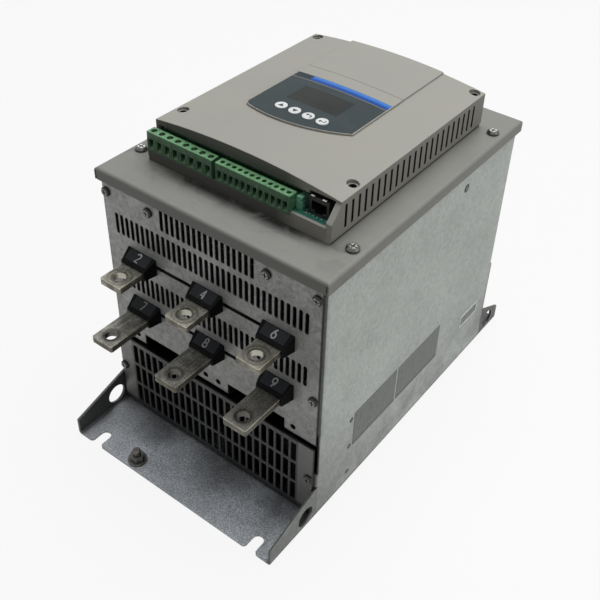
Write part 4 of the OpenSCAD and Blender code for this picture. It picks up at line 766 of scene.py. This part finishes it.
def lathe(bm, profile, matrix, steps=24):
    """A profile of (radius, height) turned about N, with a flat foot and a tip on the axis."""
    turn = [2 * math.pi * i / steps for i in range(steps)]
    rings = []
    for radius, height in profile:
        circle = [(radius * math.cos(a), radius * math.sin(a)) for a in turn]
        rings.append(ring(bm, circle if radius else [(0, 0)], height, matrix))
    stitch(bm, rings)
    bm.faces.new(rings[0][::-1])


print("shape helpers ready")

# %% [markdown]
# ## Numbers on the bushings
# Each bushing carries a small marker label on its upper slope with the pole's number on it. Blender's
# text object could write it, but a number is only a few pen strokes, so each one is a short curve with a
# round pen, turned into a mesh and pressed flat like thick ink. The strokes stand in a field 1 wide and 2
# high.


# %% Pen strokes
def arc(cx, cy, rx, ry, start, end, steps=12):
    turn = [math.radians(start + (end - start) * i / steps) for i in range(steps + 1)]
    return [(cx + rx * math.cos(a), cy + ry * math.sin(a)) for a in turn]


DIGITS = {
    1: [[(0.25, 1.6), (0.55, 2.0), (0.55, 0.0)]],
    2: [arc(0.5, 1.5, 0.5, 0.5, 165, -35) + [(0.0, 0.0), (1.0, 0.0)]],
    3: [arc(0.48, 1.5, 0.47, 0.5, 150, -90) + arc(0.48, 0.5, 0.52, 0.5, 90, -155)],
    4: [[(0.72, 0.0), (0.72, 2.0)], [(0.72, 2.0), (0.0, 0.62), (1.0, 0.62)]],
    5: [[(0.95, 2.0), (0.1, 2.0), (0.05, 1.12)] + arc(0.48, 0.62, 0.52, 0.62, 125, -150)],
    6: [[(0.8, 2.0), (0.25, 1.3)] + arc(0.5, 0.6, 0.5, 0.6, 160, 520, 20)],
    7: [[(0.0, 2.0), (1.0, 2.0), (0.35, 0.0)]],
    8: [arc(0.5, 1.5, 0.42, 0.5, -90, 270, 18), arc(0.5, 0.52, 0.5, 0.52, 90, 450, 20)],
    9: [[(0.2, 0.0), (0.75, 0.7)] + arc(0.5, 1.4, 0.5, 0.6, -20, 340, 20)],
}


def ink_strokes(name, strokes, pen, thick, matrix, finish, body="unit"):
    """Pen strokes drawn in U and V, as a flat bead of ink that stands on its face."""
    curve = bpy.data.curves.new(name + "_pen", "CURVE")
    curve.dimensions = "3D"
    curve.bevel_depth = pen / 2
    curve.bevel_resolution = 2
    curve.use_fill_caps = True
    for points in strokes:
        spline = curve.splines.new("POLY")
        spline.points.add(len(points) - 1)
        for point, (a, b) in zip(spline.points, points):
            point.co = (a, b, 0.0, 1.0)
    pen_object = bpy.data.objects.new(name + "_pen", curve)
    bpy.context.scene.collection.objects.link(pen_object)
    evaluated = pen_object.evaluated_get(bpy.context.evaluated_depsgraph_get())
    drawn = bpy.data.meshes.new_from_object(evaluated)
    bpy.data.objects.remove(pen_object)
    bm = bmesh.new()
    bm.from_mesh(drawn)
    bpy.data.meshes.remove(drawn)
    bmesh.ops.remove_doubles(bm, verts=bm.verts, dist=1e-7)
    for vert in bm.verts:
        a, b, c = vert.co
        vert.co = matrix @ Vector((a, b, c * thick / (pen / 2)))
    return make_piece(name, bm, finish, body)


print("digits", sorted(DIGITS))

# %% Marker labels and numbers
marker = Finish("marker_label_film", Specular_IOR_Level=0.15)
wipe = marker.noise(120, 4, 0.6)
marker.colour = marker.ramp(wipe, (0.3, (31, 34, 37)), (0.7, (48, 51, 55)))
marker.ease(0.0003, (110, 114, 120), 0.4)
MARKER = marker.wear((wipe, 0.3, 0.7, 0.4, 0.55), wipe, 0.1, 0.00005)
MARK_WHITE = plain_case("mark_white_ink", (206, 210, 214), (232, 235, 238), 900, 0.45, 0.6)

BUSHING_RISE, NOSE_RISE, BUSHING_OUT, LABEL_UP = 0.010, 0.004, 0.0105, 0.6
LABEL_W, LABEL_H, LABEL_CORNER, LABEL_T, LABEL_SUNK = 0.0204, 0.0086, 0.0008, 0.00012, 0.00005
DIGIT_H, DIGIT_PEN, DIGIT_T = 0.0066, 0.00125, 0.00005
pole_numbers = {"load": (2, 4, 6), "bypass": (7, 8, 9), "line": (1, 3, 5)}


def bushing_slope(node, away):
    """The face of a bushing's upper slope; away is -1 at the load end and 1 at the line end."""
    low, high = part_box(node)
    nose_y = low.y if away < 0 else high.y
    up_slope = Vector((0, -away * BUSHING_OUT, BUSHING_RISE - NOSE_RISE))
    centre = Vector(((low.x + high.x) / 2, nose_y, high.z - up_slope.z)) + up_slope * LABEL_UP
    return face_matrix(centre, (-away, 0, 0), up_slope)


for row, numbers in pole_numbers.items():
    for p, number in zip(poles, numbers):
        slope = bushing_slope(f"{row}_insulator_{p}", 1 if row == "line" else -1)
        bm = bmesh.new()
        slab(bm, round_box(LABEL_W, LABEL_H, LABEL_CORNER), -LABEL_SUNK, LABEL_T, slope, LABEL_SUNK)
        make_piece(f"marker_label_{row}_{p}", bm, MARKER)
        half = DIGIT_H / 2
        strokes = [[((a - 0.5) * half, (b - 1.0) * half) for a, b in stroke] for stroke in DIGITS[number]]
        raised = slope @ Matrix.Translation((0, 0, LABEL_T))
        ink_strokes(f"marker_number_{row}_{p}", strokes, DIGIT_PEN, DIGIT_T, raised, MARK_WHITE)
print("marker labels with numbers", pole_numbers)

# %% [markdown]
# ## Signs on the keys
# The four keys carry plain signs: up, down, back and enter. They are printed, so they are thin. The two
# triangles are filled outlines and the two arrows are pen strokes. Each sign rides on its own key and
# moves with it.

# %% Signs on the keys
KEY_INK = plain_case("key_black_ink", (30, 31, 32), (48, 49, 50), 800, 0.45, 0.6)
SIGN_T, SIGN_PEN, SIGN_SUNK = 0.00006, 0.0009, 0.00003
ON_TOP = (1, 0, 0), (0, 1, 0)
mm = 0.001


def mm_points(*points):
    return [(a * mm, b * mm) for a, b in points]


def key_top(node):
    low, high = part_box(node)
    return face_matrix(((low.x + high.x) / 2, (low.y + high.y) / 2, high.z), *ON_TOP)


for sign, flip in (("up", 1), ("down", -1)):
    bm = bmesh.new()
    triangle = mm_points((-2.3, -1.4 * flip), (2.3, -1.4 * flip), (0.0, 2.3 * flip))
    slab(bm, triangle[::flip], -SIGN_SUNK, SIGN_T, key_top(f"key_{sign}"), SIGN_SUNK)
    make_piece(f"sign_key_{sign}", bm, KEY_INK, f"{sign}_key")
arrows = {
    "back": [mm_points((2.4, -1.5), *arc(0.6, 0.0, 1.8, 1.3, -60, 90, 10), (-2.4, 1.3)),
             mm_points((-1.2, 2.4), (-2.4, 1.3), (-1.2, 0.2))],
    "enter": [mm_points((2.3, 1.8), (2.3, -0.4), (-2.3, -0.4)),
              mm_points((-1.1, 0.8), (-2.3, -0.4), (-1.1, -1.6))],
}
for sign, strokes in arrows.items():
    ink_strokes(f"sign_key_{sign}", strokes, SIGN_PEN, SIGN_T, key_top(f"key_{sign}"), KEY_INK,
                f"{sign}_key")
print("key signs up, down and", list(arrows))

# %% [markdown]
# ## Plates, rivets and the lanced tongue on the side wall
# The right wall carries two plain thin grey plates side by side, four small pressed rivets in dark seats,
# and a long tongue that was lanced out of the wall. They are only tenths of a millimetre high, but they
# catch the light, so they are real relief: slabs with an eased rim, turned rivets, and a raised rim round
# the tongue.

# %% Plates on the side wall
plate = Finish("side_plate_foil", Metallic=0.3)
x, y, z = plate.axes()
brushed = plate.noise(1.0, 4, 0.6, where=plate.stretched(400, 400, 40), twist=0.3)
plate.colour = plate.ramp(brushed, (0.3, (100, 103, 99)), (0.7, (124, 127, 122)))
plate.lay((78, 80, 77), plate.band(plate.noise(210, 4, 0.7), 0.54, 0.66), 0.6)
scuff = plate.zone((plate.noise(90, 5, 0.75, twist=1.0), 0.56, 0.64), (y, -0.03, -0.055))
plate.lay((70, 72, 69), scuff, 0.7)
plate.lay((72, 74, 71), plate.band(z, 0.0452, 0.0425), 0.6)
plate.ease(0.0003, (84, 88, 85), 0.4)
PLATE = plate.wear((brushed, 0.3, 0.7, 0.42, 0.56), brushed, 0.15, 0.00006)

ON_RIGHT = (0, 1, 0), (0, 0, 1)
PLATE_H, PLATE_CORNER, PLATE_MID_Z = 35.5, 1.0, 58.2
PLATE_SUNK, PLATE_T, PLATE_EASE = 0.00005, 0.00022, 0.00008
plate_ends = {"side_plate_front": (-72.0, -14.2), "side_plate_back": (-12.0, 51.0)}
wall_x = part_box("chassis")[1].x


def on_right_wall(y, z):
    return face_matrix((wall_x, y * mm, z * mm), *ON_RIGHT)


for name, (y0, y1) in plate_ends.items():
    bm = bmesh.new()
    outline = round_box((y1 - y0) * mm, PLATE_H * mm, PLATE_CORNER * mm)
    slab(bm, outline, -PLATE_SUNK, PLATE_T, on_right_wall((y0 + y1) / 2, PLATE_MID_Z), PLATE_EASE)
    make_piece(name, bm, PLATE)
print("side plates, ends in mm", plate_ends)

# %% Rivets
# The seats are near-black round each rivet, as painted shade, and the heads get painted shade on their
# sides.
RIVET_SEAT = small_metal("rivet_dark_seat", (12, 12, 12), (96, 98, 94), 0.45, 0.6, 0.8, 0.4)
RIVET_HEAD = small_metal("rivet_pressed_head", (104, 107, 103), (150, 154, 149), 0.35, 0.5, 0.4, 0.5,
                         faces=0)
# Radius as a share of the seat's, and height in millimetres
HEAD_SHAPE = ((0.56, 0.02), (0.54, 0.2), (0.4, 0.42), (0.22, 0.3), (0.0, 0.24))
HEAD_OFF = 0.12
# Y, Z and radius of each seat in millimetres
rivets = ((-75.9, 72.0, 2.3), (-76.3, 43.0, 2.3), (-76.5, 13.8, 2.3), (60.0, 206.6, 3.6))
seats, heads = bmesh.new(), bmesh.new()
for y, z, r in rivets:
    lathe(seats, mm_points((r, -0.05), (r, 0.07), (r - 0.15, 0.1), (0.0, 0.1)), on_right_wall(y, z))
    head = mm_points(*[(share * r, rise) for share, rise in HEAD_SHAPE])
    lathe(heads, head, on_right_wall(y - HEAD_OFF * r, z + HEAD_OFF * r))
make_piece("side_rivet_seats", seats, RIVET_SEAT)
make_piece("side_rivets", heads, RIVET_HEAD)
print("rivets", len(rivets), "on the wall at x", round(wall_x, 4))

# %% Lanced tongue
# The rim round the tongue is painted lighter than the wall, a painted highlight, and the tongue darker,
# painted shade; both are the wall's zinc.
LANCE_HIGHLIGHT = small_metal("lanced_zinc_highlight", (196, 201, 196), (228, 232, 227), 0.4, 0.55, 0.2, 0.3)
LANCE_SHADE = small_metal("lanced_shaded_zinc", (112, 116, 112), (138, 142, 138), 0.45, 0.6, 0.4, 0.4)
# Length, height, corner radius and rise of each ring of the rim, in millimetres
rim_rings = ((31.0, 13.4, 1.2, -0.02), (29.6, 12.0, 1.0, 0.6), (28.4, 10.8, 0.9, 0.6),
             (26.8, 9.2, 0.7, 0.08))
tongue = on_right_wall(105, 50)
bm = bmesh.new()
rings = [ring(bm, round_box(w * mm, h * mm, r * mm), rise * mm, tongue) for w, h, r, rise in rim_rings]
stitch(bm, rings, closed=True)
make_piece("lanced_rim", bm, LANCE_HIGHLIGHT)
bm = bmesh.new()
slab(bm, round_box(26.6 * mm, 9.0 * mm, 0.6 * mm), -0.02 * mm, 0.1 * mm, tongue, 0.04 * mm)
make_piece("lanced_tongue", bm, LANCE_SHADE)
print("lanced tongue in a rim of", rim_rings[0][:2], "mm")

# %% [markdown]
# ## Inside the plugs
# A rising-cage plug has a small nickel cage behind each wire entry: a sleeve that lifts against the
# screw. The frame's plugs have the entries open, so each gets a thin sleeve set back from the face,
# tarnished and kept dark as painted shade in the entry. Between the ways stand low ribs, and a step runs
# across the face above the entries.

# %% Cages, ribs and the step of the plugs
ENTRY_H, ENTRY_IN, CAGE_PLAY, CAGE_BACK = 5.2 * mm, 4.2 * mm, 0.1 * mm, 2.6 * mm
CAGE_DEEP, CAGE_T, CAGE_LIFT, CAGE_FLOOR = 2.7 * mm, 0.35 * mm, 1.3 * mm, 0.3 * mm
RIB_HALF, RIB_IN, SUNK = 0.35 * mm, 0.4 * mm, 0.05 * mm
ON_FRONT = (1, 0, 0), (0, 0, 1)
FRONT = face_matrix((0, 0, 0), *ON_FRONT)
# Ways, pitch, end wall, and the share of the pitch that an entry takes
plug_rows = (("relay_plug", 8, 7.5 * mm, 0.0, 0.52), ("control_plug", 12, 5.08 * mm, 1.0 * mm, 0.6))


def sleeve(bm, x, y, z, w, h):
    """A thin rectangular sleeve along Y, open in front, with its floor raised at the back."""
    outer = rect(x - w / 2, z, x + w / 2, z + h)
    inner = rect(x - w / 2 + CAGE_T, z + CAGE_T, x + w / 2 - CAGE_T, z + h - CAGE_T)
    deep = [(a, b + (CAGE_LIFT if i < 2 else 0.0)) for i, (a, b) in enumerate(inner)]
    back = y + CAGE_DEEP
    stations = ((outer, back), (outer, y), (inner, y), (deep, back - CAGE_FLOOR))
    rings = [ring(bm, outline, -at_y, FRONT) for outline, at_y in stations]
    stitch(bm, rings)
    bm.faces.new(rings[-1])
    bm.faces.new(rings[0][::-1])


for plug_name, ways, pitch, end_wall, entry_share in plug_rows:
    low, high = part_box(plug_name)
    width = high.x - low.x
    cages, ribs = bmesh.new(), bmesh.new()
    entry_z = low.z + ENTRY_IN
    entry_top = entry_z + ENTRY_H
    face = face_matrix((low.x, low.y, 0), *ON_FRONT)
    for way in range(ways):
        x = low.x + end_wall + (way + 0.5) * pitch
        sleeve(cages, x, low.y + CAGE_BACK, entry_z + CAGE_PLAY, entry_share * pitch - 2 * CAGE_PLAY,
               ENTRY_H - 2 * CAGE_PLAY)
    for way in range(ways + 1):
        at = min(max(end_wall + way * pitch, RIB_IN), width - RIB_IN)
        rib = rect(at - RIB_HALF, entry_z - 0.6 * mm, at + RIB_HALF, entry_top + 0.5 * mm)
        slab(ribs, rib, -SUNK, 0.3 * mm, face, 0.1 * mm)
    step = rect(0.1 * mm, entry_top + 0.9 * mm, width - 0.1 * mm, entry_top + 1.5 * mm)
    slab(ribs, step, -SUNK, 0.22 * mm, face, 0.08 * mm)
    make_piece(f"{plug_name}_cages", cages, CAGE_METAL)
    make_piece(f"{plug_name}_ribs", ribs, PLUG_GREEN)
print("plug cages and ribs", [(plug_name, ways) for plug_name, ways, *_ in plug_rows])

# %% [markdown]
# ## The header's end flange
# The control plug pushes into a header whose end flange stands beside the plug, in front of the fascia,
# as a pale teal block with a latch notch. It is one outline in X and Z, made thick along Y.

# %% Header flange
FLANGE_GAP, FLANGE_Y, NOTCH_SHARE, NOTCH_LOW, NOTCH_HIGH = 0.25 * mm, -79.6 * mm, 0.32, 3.4 * mm, 2.2 * mm
header_low, header_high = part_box("plug_headers")
x0, x1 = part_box("control_plug")[1].x + FLANGE_GAP, header_high.x
z0, z1 = header_low.z + 0.05 * mm, header_high.z + 0.6 * mm
notch_x = x1 - NOTCH_SHARE * (x1 - x0)
flange = [(x0, z0), (x1, z0), (x1, z1 - NOTCH_LOW), (notch_x, z1 - NOTCH_LOW), (notch_x, z1 - NOTCH_HIGH),
          (x1, z1 - NOTCH_HIGH), (x1, z1), (x0, z1)]
bm = bmesh.new()
slab(bm, flange, -header_low.y + 0.1 * mm, -FLANGE_Y, FRONT)
make_piece("header_flange", bm, HEADER_GREEN)
print("header flange", round((x1 - x0) / mm, 2), "mm wide")

# %% [markdown]
# ## The network socket's shield and contacts
# A network socket is a black moulding in a folded metal shield. Two spring fingers on the shield's upper
# edge press against the housing, and eight thin contacts slope down inside the mouth. The shield is a
# frame of sheet round the mouth with a roof, the fingers are swept strips, and the contacts are round
# wires.

# %% Socket shield
SHIELD_T, SHIELD_SIDE, SHIELD_RIM, ROOF_SIDE, ROOF_DEEP = 0.25 * mm, 0.1 * mm, 0.6 * mm, 0.2 * mm, 2.2 * mm
s_low, s_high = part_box("network_socket")
outer = rect(s_low.x - SHIELD_SIDE, s_low.z + 0.05 * mm, s_high.x + SHIELD_SIDE, s_high.z + SHIELD_T)
inner = rect(s_low.x + SHIELD_RIM, s_low.z + 0.5 * mm, s_high.x - SHIELD_RIM, s_high.z - 0.8 * mm)
front_y, back_y = s_low.y - SHIELD_T, s_low.y - 0.01 * mm
stations = ((outer, back_y), (outer, front_y), (inner, front_y), (inner, back_y))
bm = bmesh.new()
stitch(bm, [ring(bm, outline, -at_y, FRONT) for outline, at_y in stations], closed=True)
roof = rect(s_low.x - ROOF_SIDE, s_low.y - 0.02 * mm, s_high.x + ROOF_SIDE, s_low.y + ROOF_DEEP)
slab(bm, roof, s_high.z + 0.02 * mm, s_high.z + SHIELD_T, Matrix.Identity(4))
make_piece("socket_shield", bm, SHIELD_TIN)
print("socket shield", round((s_high.x - s_low.x + 2 * SHIELD_SIDE) / mm, 1), "mm wide")

# %% Spring fingers
FINGER_AT, FINGER_HALF, FINGER_BACK, FINGER_DOWN = 4.6 * mm, 1.5 * mm, 0.12, 0.18
finger_path = ((-0.25, 0.2), (-0.9, 0.75), (-0.7, 1.25), (0.2, 1.35), (1.6, 0.3))
finger_corners = ((-1, 0, 0), (1, 0, 0), (1, FINGER_BACK, FINGER_DOWN), (-1, FINGER_BACK, FINGER_DOWN))
s_mid = (s_low.x + s_high.x) / 2
bm = bmesh.new()
for side in (-1, 1):
    mid_x = s_mid + side * FINGER_AT
    rings = [[bm.verts.new((mid_x + a * FINGER_HALF, s_low.y + (b + back) * mm, s_high.z + (c - down) * mm))
              for a, back, down in finger_corners] for b, c in finger_path]
    stitch(bm, rings)
    for end in (0, -1):
        bm.faces.new(rings[end])
make_piece("socket_spring_fingers", bm, CLAMP_METAL)
print("spring fingers at", [round((s_mid + side * FINGER_AT) / mm, 1) for side in (-1, 1)], "mm")

# %% Socket contacts
CONTACTS, CONTACT_PITCH, CONTACT_PEN, MOUTH_TOP = 8, 1.02 * mm, 0.36 * mm, 10.2 * mm
mouth_top = s_low.z + MOUTH_TOP
wire_path = mm_points((1.2, 0.3), (3.0, 0.7), (8.5, 3.2), (10.5, 3.6))
wire = [(s_low.y + inwards, mouth_top - down) for inwards, down in wire_path]
for i in range(CONTACTS):
    at_x = s_mid + (i - (CONTACTS - 1) / 2) * CONTACT_PITCH
    ink_strokes(f"socket_contact_{i + 1}", [wire], CONTACT_PEN, CONTACT_PEN / 2,
                face_matrix((at_x, 0, 0), *ON_RIGHT), CONTACT_GOLD)
print("socket contacts", CONTACTS)

# %% [markdown]
# ## On the strip of circuit board
# Between the front wall and the socket a strip of the control board shows: pale copper tracks under the
# lacquer, a few solder joints and two chip parts with bright end caps. The tracks are pen strokes pressed
# flat, turned cones make the joints, and the chips are slabs with caps at both ends.

# %% Solder joints and tracks
board_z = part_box("control_board")[1].z
JOINT_XS, JOINT_Y = (54.6, 57.2, 60.4, 63.4, 66.8, 70.6), -79.0
TRACK_JOG, TRACK_PEN, TRACK_T = 1.2, 0.5, 0.04
joint = mm_points((0.6, -0.03), (0.55, 0.05), (0.32, 0.2), (0.18, 0.4), (0.0, 0.42))
bm = bmesh.new()
for at_x in JOINT_XS:
    lathe(bm, joint, face_matrix((at_x * mm, JOINT_Y * mm, board_z), *ON_TOP), 12)
make_piece("board_solder_joints", bm, CLAMP_METAL)
TRACK = plain_case("board_pale_tracks", (84, 152, 132), (112, 176, 154), 700, 0.3, 0.45)
tracks = [mm_points((at_x, JOINT_Y), (at_x, -80.2), (at_x - TRACK_JOG, -81.4), (at_x - TRACK_JOG, -83.2))
          for at_x in JOINT_XS]
tracks += [mm_points((51.6, -82.2), (52.4, -82.2)), mm_points((71.5, -82.4), (73.6, -82.4))]
on_board = face_matrix((0, 0, board_z), *ON_TOP)
ink_strokes("board_tracks", tracks, TRACK_PEN * mm, TRACK_T * mm, on_board, TRACK)
print("solder joints", len(JOINT_XS), "tracks", len(tracks))

# %% Chip parts
CHIP_SUNK, CHIP_EASE, CHIP_H, CAP_H, CAP_AT = 0.02 * mm, 0.08 * mm, 0.55 * mm, 0.58 * mm, 1.2 * mm
chip_places = mm_points((53.6, -78.6), (74.2, -76.4))
caps, chips = bmesh.new(), bmesh.new()
for at_x, at_y in chip_places:
    place = face_matrix((at_x, at_y, board_z), (0, 1, 0), (-1, 0, 0))
    slab(chips, round_box(1.9 * mm, 1.25 * mm, 0.1 * mm, 2), -CHIP_SUNK, CHIP_H, place, CHIP_EASE)
    for end in (-1, 1):
        cap = [(a + end * CAP_AT, b) for a, b in round_box(0.55 * mm, 1.3 * mm, 0.1 * mm, 2)]
        slab(caps, cap, -CHIP_SUNK, CAP_H, place, CHIP_EASE)
make_piece("board_chips", chips, SOCKET_SHELL)
make_piece("board_chip_caps", caps, CLAMP_METAL)
print("chips", len(chip_places))

# %% [markdown]
# ## Floor, light and camera
# The studio is white all round. The floor is a pale sheet that shows white to the camera and still takes
# the object's soft shadow, and the world is white to the camera, to mirrors and to glass, but lights the
# scene at a plain level. A broad lamp above and to the right makes the right wall and the top light and
# leaves the load end in its own shade.

# %% Floor
scene = bpy.context.scene
scene.view_settings.view_transform = "Standard"
FLOOR_SIZE, FLOOR_LOW, FLOOR_TOP, FLOOR_GLOW = 6.0, -0.02, -0.0002, 0.88
bm = bmesh.new()
slab(bm, rect(-FLOOR_SIZE, -FLOOR_SIZE, FLOOR_SIZE, FLOOR_SIZE), FLOOR_LOW, FLOOR_TOP, Matrix.Identity(4))
floor_mesh = bpy.data.meshes.new("studio_floor")
bm.to_mesh(floor_mesh)
bm.free()
floor = bpy.data.objects.new("studio_floor", floor_mesh)
scene.collection.objects.link(floor)


def straight_rays(bench, rays):
    """1 for rays from the camera, a mirror or glass, and 0 for all other light."""
    mirrored = bench.sum("MAXIMUM", rays["Is Glossy Ray"], rays["Is Transmission Ray"])
    return bench.sum("MAXIMUM", rays["Is Camera Ray"], mirrored)


white = Finish("studio_floor_white", Roughness=0.9)
rays = white.node("ShaderNodeLightPath").outputs
seen = white.mix(rays["Is Camera Ray"], (0.25, 0.25, 0.25, 1), (0.85, 0.85, 0.85, 1))
white.feed(white.shader.inputs["Base Color"], seen)
glow = white.node("ShaderNodeEmission", {"Color": (1, 1, 1, 1), "Strength": 1.0}).outputs["Emission"]
share = white.times(straight_rays(white, rays), FLOOR_GLOW)
blend = white.node("ShaderNodeMixShader", {0: share, 1: white.shader.outputs["BSDF"], 2: glow})
white.feed(white.tree.nodes["Material Output"].inputs["Surface"], blend.outputs["Shader"])
floor_mesh.materials.append(white.material)
print("floor", 2 * FLOOR_SIZE, "m wide")

# %% World
WORLD_LEVEL = 0.07
world = bpy.data.worlds.new("studio_white")
scene.world = world
world.use_nodes = True
sky = Bench(world.node_tree)
straight = straight_rays(sky, sky.node("ShaderNodeLightPath").outputs)
backdrop = world.node_tree.nodes["Background"]
sky.feed(backdrop.inputs["Color"], (1, 1, 1, 1))
sky.feed(backdrop.inputs["Strength"], sky.sum("ADD", WORLD_LEVEL, sky.times(straight, 1.0 - WORLD_LEVEL)))
print("world level", WORLD_LEVEL)

# %% Lamps
CENTRE = (0.0, 0.0, 0.15)
# Place, diameter in metres, watts
lamps = (("key_lamp", (1.6, 0.2, 0.8), 1.4, 7), ("top_lamp", (0.0, 0.45, 2.2), 2.0, 33),
         ("front_fill", (-0.7, -1.7, 0.9), 1.4, 1.2))
for name, place, size, watts in lamps:
    data = bpy.data.lights.new(name, "AREA")
    data.shape = "DISK"
    data.size = size
    data.energy = watts
    lamp = bpy.data.objects.new(name, data)
    scene.collection.objects.link(lamp)
    lamp.location = place
    lamp.rotation_euler = (Vector(CENTRE) - Vector(place)).to_track_quat("-Z", "Y").to_euler()
print("lamps", [(name, watts) for name, place, size, watts in lamps])

# %% [markdown]
# The camera stands where the picture was taken from: in front of the load end, to the right and above, a
# little tilted. Its place and its three axes were measured from the corners of the object in the picture.
# The lens was then trimmed a little against the outline, and the shift moves the frame so that the object
# sits in the picture as it does there.

# %% Camera
PICTURE_PX, FOCAL_PX, MIDDLE_PX, SENSOR = 600, 908.8, (326.606, 249.292), 36.0
camera_data = bpy.data.cameras.new("studio_camera")
camera_data.sensor_width = SENSOR
camera_data.lens = FOCAL_PX / PICTURE_PX * SENSOR
camera_data.shift_x = (PICTURE_PX / 2 - MIDDLE_PX[0]) / PICTURE_PX
camera_data.shift_y = (MIDDLE_PX[1] - PICTURE_PX / 2) / PICTURE_PX
camera_data.clip_start, camera_data.clip_end = 0.01, 50.0
camera = bpy.data.objects.new("studio_camera", camera_data)
scene.collection.objects.link(camera)
right, up, back = (0.80564, 0.59098, 0.04115), (-0.38836, 0.47442, 0.79000), (0.44735, -0.65243, 0.61173)
stand = Matrix((right, up, back)).transposed().to_4x4()
stand.translation = (0.33555, -0.46339, 0.57942)
camera.matrix_world = stand
scene.camera = camera
print("camera at", [round(v, 3) for v in camera.location], "lens", round(camera_data.lens, 2))
